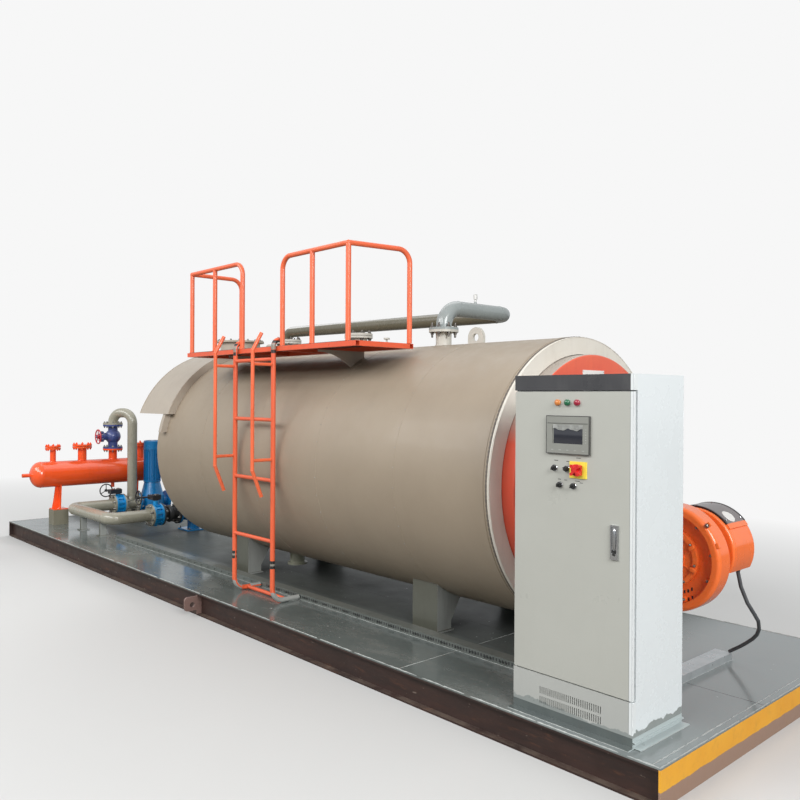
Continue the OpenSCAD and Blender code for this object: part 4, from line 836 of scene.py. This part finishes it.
def makeLatchDetail():
    x, low, high = cabinetSet["lever"]
    face, lock = cabinetSet["face"], cabinetSet["lock"]
    work = bmesh.new()
    loops = []
    steps = 22
    for k in range(steps + 1):
        share = k / steps
        z = low + (high - low) * share
        bulge = max(0, sin(pi * share)) ** 0.35
        half, depth = 0.0035 + 0.0075 * bulge, 0.0068 * bulge
        loops.append([work.verts.new((x + half * cos(t), face - 0.0065 + depth * sin(t), z))
                      for t in [j * pi / 6 for j in range(12)]])
    joinLoops(work, loops, False)
    bmesh.ops.recalc_face_normals(work, faces=work.faces)
    addPiece("latch_lever", work, "chrome", "control_door")
    work = bmesh.new()
    addCone(work, along("-Y", (x, face - 0.0098, lock)), 0, 0.004, 0.0095, 0.008, 24)
    addBox(work, (x - 0.0155, face - 0.0062, 1.1755), (x + 0.0155, face - 0.005, 1.1925), bevel=0.0004)
    addPiece("latch_lock", work, "black", "control_door")


def makeKnobDetail():
    face, height = cabinetSet["face"], cabinetSet["lampHeight"]
    work = bmesh.new()
    for x, z, lean in cabinetSet["knobs"]:
        pointer = turned((x, face - 0.024, z), lean, "Y")
        addBox(work, (-0.0035, -0.008, -0.011), (0.0035, 0.001, 0.011), pointer, 0.0012)
    for x, z, lean in cabinetSet["knobs"]:
        addCone(work, along("-Y", (x, face - 0.007, z)), 0, 0.007, 0.0158, 0.0148, 32)
    addPiece("knob_pointers", work, "black", "control_door")
    work = bmesh.new()
    for x, z, lean in cabinetSet["knobs"]:
        addCone(work, along("-Y", (x, face - 0.0052, z)), 0, 0.0018, 0.0188, 0.0176, 32)
    addPiece("knob_rings", work, "chrome", "control_door")
    work = bmesh.new()
    for x, z, wide in cabinetSet["plates"]:
        addBox(work, (x - wide / 2, face - 0.0006, z - 0.0018), (x + wide / 2, face + 0.0004, z + 0.0018),
               bevel=0.0002)
    addPiece("blank_knob_plates", work, "screenDark", "control_door")
    bezels, lenses = bmesh.new(), bmesh.new()
    profile = [(0.0, 0.0128), (0.001, 0.0172), (0.0125, 0.0172), (0.0150, 0.0148), (0.0150, 0.0128)]
    for lamp in cabinetSet["lamps"]:
        def place(angle, rise, reach):
            return lamp + reach * cos(angle), face - rise, height + reach * sin(angle)

        addSweep(bezels, profile, place, 28)
        flat = Matrix.Translation((lamp, face - 0.0155, height)) @ Matrix.Scale(0.42, 4, (0, 1, 0))
        bmesh.ops.create_uvsphere(lenses, u_segments=28, v_segments=14, radius=cabinetSet["lens"],
                                  matrix=flat)
    addPiece("lamp_bezels", bezels, "lamp", "control_door")
    addPiece("lamp_lenses", lenses, "lamp", "control_door")


makeScreenDetail()
makeLatchDetail()
makeKnobDetail()
print("stage: cabinet detail made")

# fan casing: centre, near face, then the angles of the hub's pads and the rim's bosses in degrees
fanSet = {"x": 4.463, "z": 0.995, "near": -0.320, "hub": 0.164, "rim": 0.262, "ribs": 0.125,
          "pads": (28, 80, 132, 184, 236, 288, 340), "bosses": (10, 50, 110, 170, 230, 290, 335),
          "slots": ((4.606, 0.955, 0.006, 0.017), (4.590, 0.815, 0.0055, 0.010),
                    (4.566, 0.800, 0.0055, 0.010),
                    (4.542, 0.79, 0.0055, 0.010), (4.594, 0.765, 0.0055, 0.010), (4.570, 0.750, 0.0055,
                                                                                  0.010),
                    (4.546, 0.74, 0.0055, 0.010), (4.522, 0.785, 0.0055, 0.010), (4.520, 0.735, 0.0055,
                                                                                  0.010))}
burnerSet = {"x": 4.534, "z": 1.037, "near": -0.133, "far": 0.153, "radius": 0.258, "cover": 49,
             "badge": (38, 0.043, 0.046), "gland": ((0.9215, 0.012, 0.020, 0.020, 6),
                                                    (0.9095, 0.010, 0.017, 0.0155, 24),
                                                    (0.8995, 0.010, 0.0155, 0.0125, 24))}


def onFan(reach, angle, y):
    return fanSet["x"] + reach * cos(angle), fanSet["near"] + y, fanSet["z"] + reach * sin(angle)


# rounded pad on the fan's face or rim: place, half sizes and turn in the face's plane
def addPad(work, place, halfWidth, halfHeight, depth, turn, bevel=0.003):
    addBox(work, (-halfWidth, -depth, -halfHeight), (halfWidth, 0.006, halfHeight), turned(place, turn, "Y"),
           bevel)


def makeFanDetail():
    near = fanSet["near"]
    work = bmesh.new()
    for a in map(radians, fanSet["pads"]):
        addPad(work, onFan(fanSet["hub"], a, 0.021), 0.02, 0.012, 0.012, -a)
    for a in map(radians, fanSet["bosses"]):
        addPad(work, onFan(fanSet["rim"], a, 0.062), 0.016, 0.010, 0.030, -a, 0.004)
    addPad(work, (4.712, near + 0.012, 1.222), 0.022, 0.014, 0.010, -0.75, 0.005)
    addPad(work, (4.770, near + 0.018, 1.108), 0.012, 0.018, 0.014, -0.3, 0.004)
    for a in [radians(20 + k * 45) for k in range(8)]:
        addPad(work, onFan(fanSet["ribs"], a, 0.036), 0.030, 0.0045, 0.006, -a, 0.002)
    addPiece("fan_casing_pads", work, "burner")
    work = bmesh.new()
    for a in [radians(35 + k * 45) for k in range(8)]:
        addBolt(work, along("-Y", onFan(fanSet["hub"], a, 0.0195)), 0.0045, 0.2)
    for a in map(radians, fanSet["bosses"]):
        addBolt(work, along("-Y", onFan(fanSet["rim"], a, 0.032)), 0.0045, 0.2)
    addBolt(work, along("-Y", (4.712, near + 0.002, 1.222)), 0.006, 0.1)
    addPiece("fan_casing_bolts", work, "steel")
    work = bmesh.new()
    for x, z, wide, tall in fanSet["slots"]:
        addBox(work, (x - wide, near + 0.0585, z - tall), (x + wide, near + 0.0605, z + tall), bevel=0.0008)
    for k in range(24):
        spoke = turned((fanSet["x"], near + 0.027, fanSet["z"]), radians(k * 15), "Y")
        addBox(work, (0.035, -0.001, -0.003), (0.078, 0.003, 0.003), spoke, 0.0008)
    addPiece("fan_inlet_slots", work, "black")


def makeBurnerDetail():
    radius = burnerSet["radius"] + 0.0103
    middle = Vector((burnerSet["x"], 0, burnerSet["z"]))
    half = radians(burnerSet["cover"])
    near, far = burnerSet["near"] + 0.020, burnerSet["far"] - 0.020

    def around(angle, y, reach):
        return middle + Vector((sin(angle) * (radius + reach), y, cos(angle) * (radius + reach)))

    work = bmesh.new()
    for y in (near, far - 0.010):
        profile = [(y - 0.002, -0.009), (y - 0.002, 0.0022), (y + 0.010, 0.0022), (y + 0.010, -0.009)]
        addSweep(work, profile, around, 40, -half, 2 * half, False)
    addPiece("burner_cover_edging", work, "black")
    work = bmesh.new()
    degrees, tall, wide = burnerSet["badge"]
    centre, level = radians(degrees), near + 0.100
    sides = 36
    loops = [[], []]
    for k in range(sides):
        t = k * 2 * pi / sides
        for loop, grow, reach in ((loops[0], 0.0, 0.0022), (loops[1], 0.002, -0.001)):
            angle = centre + cos(t) * (tall + grow) / radius
            loop.append(work.verts.new(around(angle, level + sin(t) * (wide + grow), reach)))
    ring, rim = loops
    hub = work.verts.new(around(centre, level, 0.003))
    for k in range(sides):
        after = (k + 1) % sides
        work.faces.new((hub, ring[k], ring[after]))
        work.faces.new((ring[k], rim[k], rim[after], ring[after]))
    bmesh.ops.recalc_face_normals(work, faces=work.faces)
    addPiece("blank_oval_badge", work, "white")
    work = bmesh.new()
    for angle in (-0.72, 0.0, 0.76):
        for y in (near + 0.02, far - 0.03):
            addBolt(work, turned(around(angle, y, 0.0), angle, "Y"), 0.0035, 0.1, False)
    addPiece("burner_cover_screws", work, "chrome")
    work = bmesh.new()
    for y in (burnerSet["near"] + 0.03, burnerSet["far"] - 0.03):
        addWeldRing(work, along("Y", (burnerSet["x"], y, burnerSet["z"])), burnerSet["radius"] - 0.0006,
                    0.0022)
    bmesh.ops.delete(work, geom=[v for v in work.verts if v.co.z < 0.925], context="VERTS")
    addPiece("burner_housing_ribs", work, "burner")
    work = bmesh.new()
    for z, tall, wide, narrow, sides in burnerSet["gland"]:
        addCone(work, along("-Z", (4.7, 0.12, z)), 0, tall, wide, narrow, sides)
    addPiece("conduit_gland", work, "black")


makeFanDetail()
makeBurnerDetail()
print("stage: burner detail made")

# butterfly valves by x, y, level and turn of the gear box, then the globe valve's middle
valveSet = {"lines": ((-4.05, -0.185, 0.625, 0.0), (-2.75, -0.235, 0.665, pi / 2)), "height": 0.44,
            "lugs": 12, "globe": (-4.35, -0.14, 1.39), "wheelNut": -0.3695, "yoke": 4}


def makeValveDetail():
    height = valveSet["height"]
    work = bmesh.new()
    for x, y, rise, turn in valveSet["lines"]:
        for k in range(valveSet["lugs"]):
            lug = turned((x, y, height), (k + 0.5) * 2 * pi / valveSet["lugs"], "Y")
            addBox(work, (0.108, -0.046, -0.013), (0.134, 0.046, 0.013), lug, 0.005)
        addCone(work, along("-Z", (x, y, height - 0.112)), 0, 0.034, 0.026, 0.022, 20)
    addPiece("valve_lugs", work, "valve")
    work = bmesh.new()
    for x, y, rise, turn in valveSet["lines"]:
        gearBox = turned((x, y, rise), turn, "Z")
        for dx in (-0.04, 0.04):
            for dy in (-0.04, 0.02):
                addBolt(work, gearBox @ Matrix.Translation((dx, dy, 0.030)), 0.005, 0.3)
        addCone(work, gearBox, 0.030, 0.044, 0.026, 0.020, 20)
    addPiece("gear_box_bolts", work, "darkSteel")
    x, y, z = valveSet["globe"]
    work = bmesh.new()
    for k in range(valveSet["yoke"]):
        rib = turned((x, y, z), k * 2 * pi / valveSet["yoke"] + 0.4, "Y")
        addBox(work, (0.05, -0.20, -0.006), (0.066, -0.16, 0.006), rib, 0.002)
    addWeldRing(work, along("Z", (x, y, z)), 0.1075, 0.003)
    addCone(work, along("-Y", (x, -0.306, z)), 0, 0.03, 0.03, 0.024, 24)
    addPiece("globe_valve_detail", work, "darkBlue")
    work = bmesh.new()
    addBolt(work, along("-Y", (x, valveSet["wheelNut"], z)), 0.008, 0.4)
    addPiece("globe_wheel_nut", work, "steel", "globe_wheel")


motorSet = {"places": ((-4.05, 0.324), (-2.75, 0.3)), "radius": 0.122, "cowl": 1.33, "slots": 28,
            "seam": 1.205, "foot": 0.748, "footBolts": 0.104}


def makeMotorDetail():
    work = bmesh.new()
    for x, y in motorSet["places"]:
        for k in range(motorSet["slots"]):
            slot = turned((x, y, motorSet["cowl"]), k * 2 * pi / motorSet["slots"], "Z")
            addBox(work, (0.045, -0.003, -0.0005), (0.092, 0.003, 0.0012), slot, 0.0005)
    addPiece("motor_cowl_slots", work, "black")
    work = bmesh.new()
    reach = motorSet["footBolts"]
    for x, y in motorSet["places"]:
        addWeldRing(work, along("Z", (x, y, motorSet["seam"])), motorSet["radius"] - 0.001, 0.002)
        for k in range(4):
            angle = k * pi / 2 + 0.5
            spot = (x + reach * cos(angle), y + reach * sin(angle), motorSet["foot"])
            addBolt(work, along("Z", spot), 0.006, 0.3)
    addPiece("motor_seams", work, "blue")


makeValveDetail()
makeMotorDetail()
print("stage: valve and motor detail made")

# beads round the deck's edges, then single beads at cabinet, tray, ladder feet and the cross seam
deckEdgeSet = {"bead": 0.0045, "side": 1.343, "front": 4.948, "rear": -4.99, "tip": 4.9925, "level": 0.2}
deckLines = [((4.016, -1.304, 0.201), (4.798, -1.304, 0.201), 0.0025),
             ((4.838, -1.258, 0.201), (4.838, -0.758, 0.201), 0.0025),
             ((-2.7, -0.785, 0.2005), (4.02, -0.785, 0.2005), 0.002),
             ((-2.7, -0.684, 0.2005), (4.02, -0.684, 0.2005), 0.002),
             ((4.379, -0.757, 0.2), (4.379, 0.48, 0.2), 0.002), ((4.501, -0.757, 0.2), (4.501, 0.48, 0.2),
                                                                 0.002)]
deckLines += [((x, -0.90, 0.201), (x, -0.80, 0.201), 0.003) for x in (0.588, 0.612, 1.208, 1.232)]
deckLines += [((deckSet["crossWeld"], low, 0.2), (deckSet["crossWeld"], high, 0.2), 0.0028)
              for low, high in ((-1.335, -0.80), (-0.67, 1.33))]


def makeDeckWelds():
    bead, side, level = deckEdgeSet["bead"], deckEdgeSet["side"], deckEdgeSet["level"]
    front, rear, tip = deckEdgeSet["front"], deckEdgeSet["rear"], deckEdgeSet["tip"]
    work = bmesh.new()
    x = rear
    while x < 4.98:
        reach = min(x + chance.uniform(0.25, 0.8), -rear)
        for y in (-side, side):
            addWeldLine(work, (x, y, level), (reach, y, level), bead)
        x = reach + chance.uniform(0.0, 0.06)
    y = -1.345
    while y < 1.34:
        reach = min(y + chance.uniform(0.2, 0.6), 1.345)
        for x, z, thick in ((front, level - 0.001, bead), (rear, level - 0.001, bead), (tip, level, 0.0035)):
            addWeldLine(work, (x, y, z), (x, reach, z), thick)
        y = reach + chance.uniform(0.0, 0.05)
    for start, end, thick in deckLines:
        addWeldLine(work, start, end, thick)
    addPiece("deck_welds", work, "bead")


traySlotSet = {"from": 0.7, "to": 3.98, "pitch": 0.027, "wide": 0.011, "low": 0.216, "high": 0.238,
               "y": -0.7856}


# row of narrow slots in the near wall of the cable tray
def makeTraySlots():
    work = bmesh.new()
    y = traySlotSet["y"]
    for k in range(int((traySlotSet["to"] - traySlotSet["from"]) / traySlotSet["pitch"])):
        x = traySlotSet["from"] + k * traySlotSet["pitch"]
        low, high = (x, y, traySlotSet["low"]), (x + traySlotSet["wide"], y + 0.0016, traySlotSet["high"])
        addBox(work, low, high, bevel=0.0004)
    addPiece("tray_slots", work, "black")


ladderRings = [(way, (x, -1.0613, z), 0.0172, 0.003) for way, x in (("X", 0.6205), ("-X", 1.1995))
               for z in (0.735, 1.255, 1.775, 2.295)]
railRings = [("Z", (x, -1.02, 2.4095), 0.0215, 0.0035) for x in (0.151, 0.649, -0.30, 1.292, 1.717, 2.184)]
makeDeckWelds()
makeWelds("ladder_welds", "orange", ladderRings)
makeWelds("rail_welds", "orange", railRings)
makeTraySlots()
print("stage: deck, ladder and tray detail made")

# pale floor that fades into the plain background, so that no horizon shows
floorSet = {"half": 60, "near": (0.60, 0.60, 0.59), "cloud": (0.62, 0.62, 0.61), "unseen": (0.20, 0.19, 0.17),
            "fadeFrom": 3.6, "fadeTo": 8.5, "squeeze": 0.62, "backdrop": (0.93, 0.93, 0.93, 1)}


def makeStage():
    mesh = bpy.data.meshes.new("floor")
    half = floorSet["half"]
    corners = [(-half, -half, 0), (half, -half, 0), (half, half, 0), (-half, half, 0)]
    mesh.from_pydata(corners, [], [(0, 1, 2, 3)])
    floor = addObject("floor", mesh)
    g = Graph("pale_floor")
    g.bump(g.noise(3, 4), 0.02)
    seen = g.add("LightPath", {}).outputs["Is Camera Ray"]
    shown = g.mix(g.noise(0.6, 3), floorSet["near"], floorSet["cloud"])
    g.base = g.mix(seen, floorSet["unseen"], shown)
    g.done(0.7)
    plain = g.add("Emission", {0: floorSet["backdrop"]})
    across = g.math("POWER", g.times(g.axis("X"), floorSet["squeeze"]), 2.0)
    span = g.math("SQRT", g.plus(across, g.math("POWER", g.axis("Y"), 2.0)))
    share = g.times(g.ramp(span, floorSet["fadeFrom"], floorSet["fadeTo"]), seen)
    fade = g.add("MixShader", {0: share, 1: g.shader.outputs[0], 2: plain.outputs[0]})
    g.tree.links.new(fade.outputs[0], g.out.inputs[0])
    mesh.materials.append(g.material)


def areaLight(name, place, aim, size, power, mirrored=True):
    data = bpy.data.lights.new(name, "AREA")
    data.shape = "RECTANGLE"
    data.size, data.size_y = size
    data.energy = power
    light = addObject(name, data)
    light.location = place
    light.rotation_euler = (Vector(aim) - Vector(place)).to_track_quat("-Z", "Y").to_euler()
    light.visible_glossy = mirrored


# colour and strength of the surroundings as light, in mirrors and as backdrop
worldSet = {"soft": ((0.86, 0.88, 0.90, 1), 0.32), "mirrored": ((0.90, 0.93, 0.95, 1), 0.72),
            "seen": ((0.93, 0.93, 0.93, 1), 1.0)}


def makeWorld():
    world = bpy.data.worlds.new("studio")
    bpy.context.scene.world = world
    world.use_nodes = True
    tree = world.node_tree
    tree.nodes.clear()
    path = tree.nodes.new("ShaderNodeLightPath")

    def background(key):
        node = tree.nodes.new("ShaderNodeBackground")
        node.inputs[0].default_value, node.inputs[1].default_value = worldSet[key]
        return node.outputs[0]

    def choose(ray, other, chosen):
        node = tree.nodes.new("ShaderNodeMixShader")
        for socket, source in zip(node.inputs, (path.outputs[ray], other, chosen)):
            tree.links.new(source, socket)
        return node.outputs[0]

    unseen = choose("Is Glossy Ray", background("soft"), background("mirrored"))
    out = tree.nodes.new("ShaderNodeOutputWorld")
    tree.links.new(choose("Is Camera Ray", unseen, background("seen")), out.inputs[0])


makeStage()
makeWorld()
areaLight("key_light", (-1.2, -11.0, 8.2), (-0.6, 0, 1.2), (17, 5), 1500)
areaLight("top_light", (-2.5, 2.5, 10), (-1, 0, 1), (12, 5), 230)
areaLight("back_light", (-9.0, 10.0, 7.5), (-1, 0, 1), (10, 5), 900, False)
areaLight("end_light", (16.0, -5.2, 8.0), (3.0, -0.3, 1.0), (8, 7), 1950)
print("stage: studio made")

bpy.context.scene.view_settings.view_transform = "Standard"
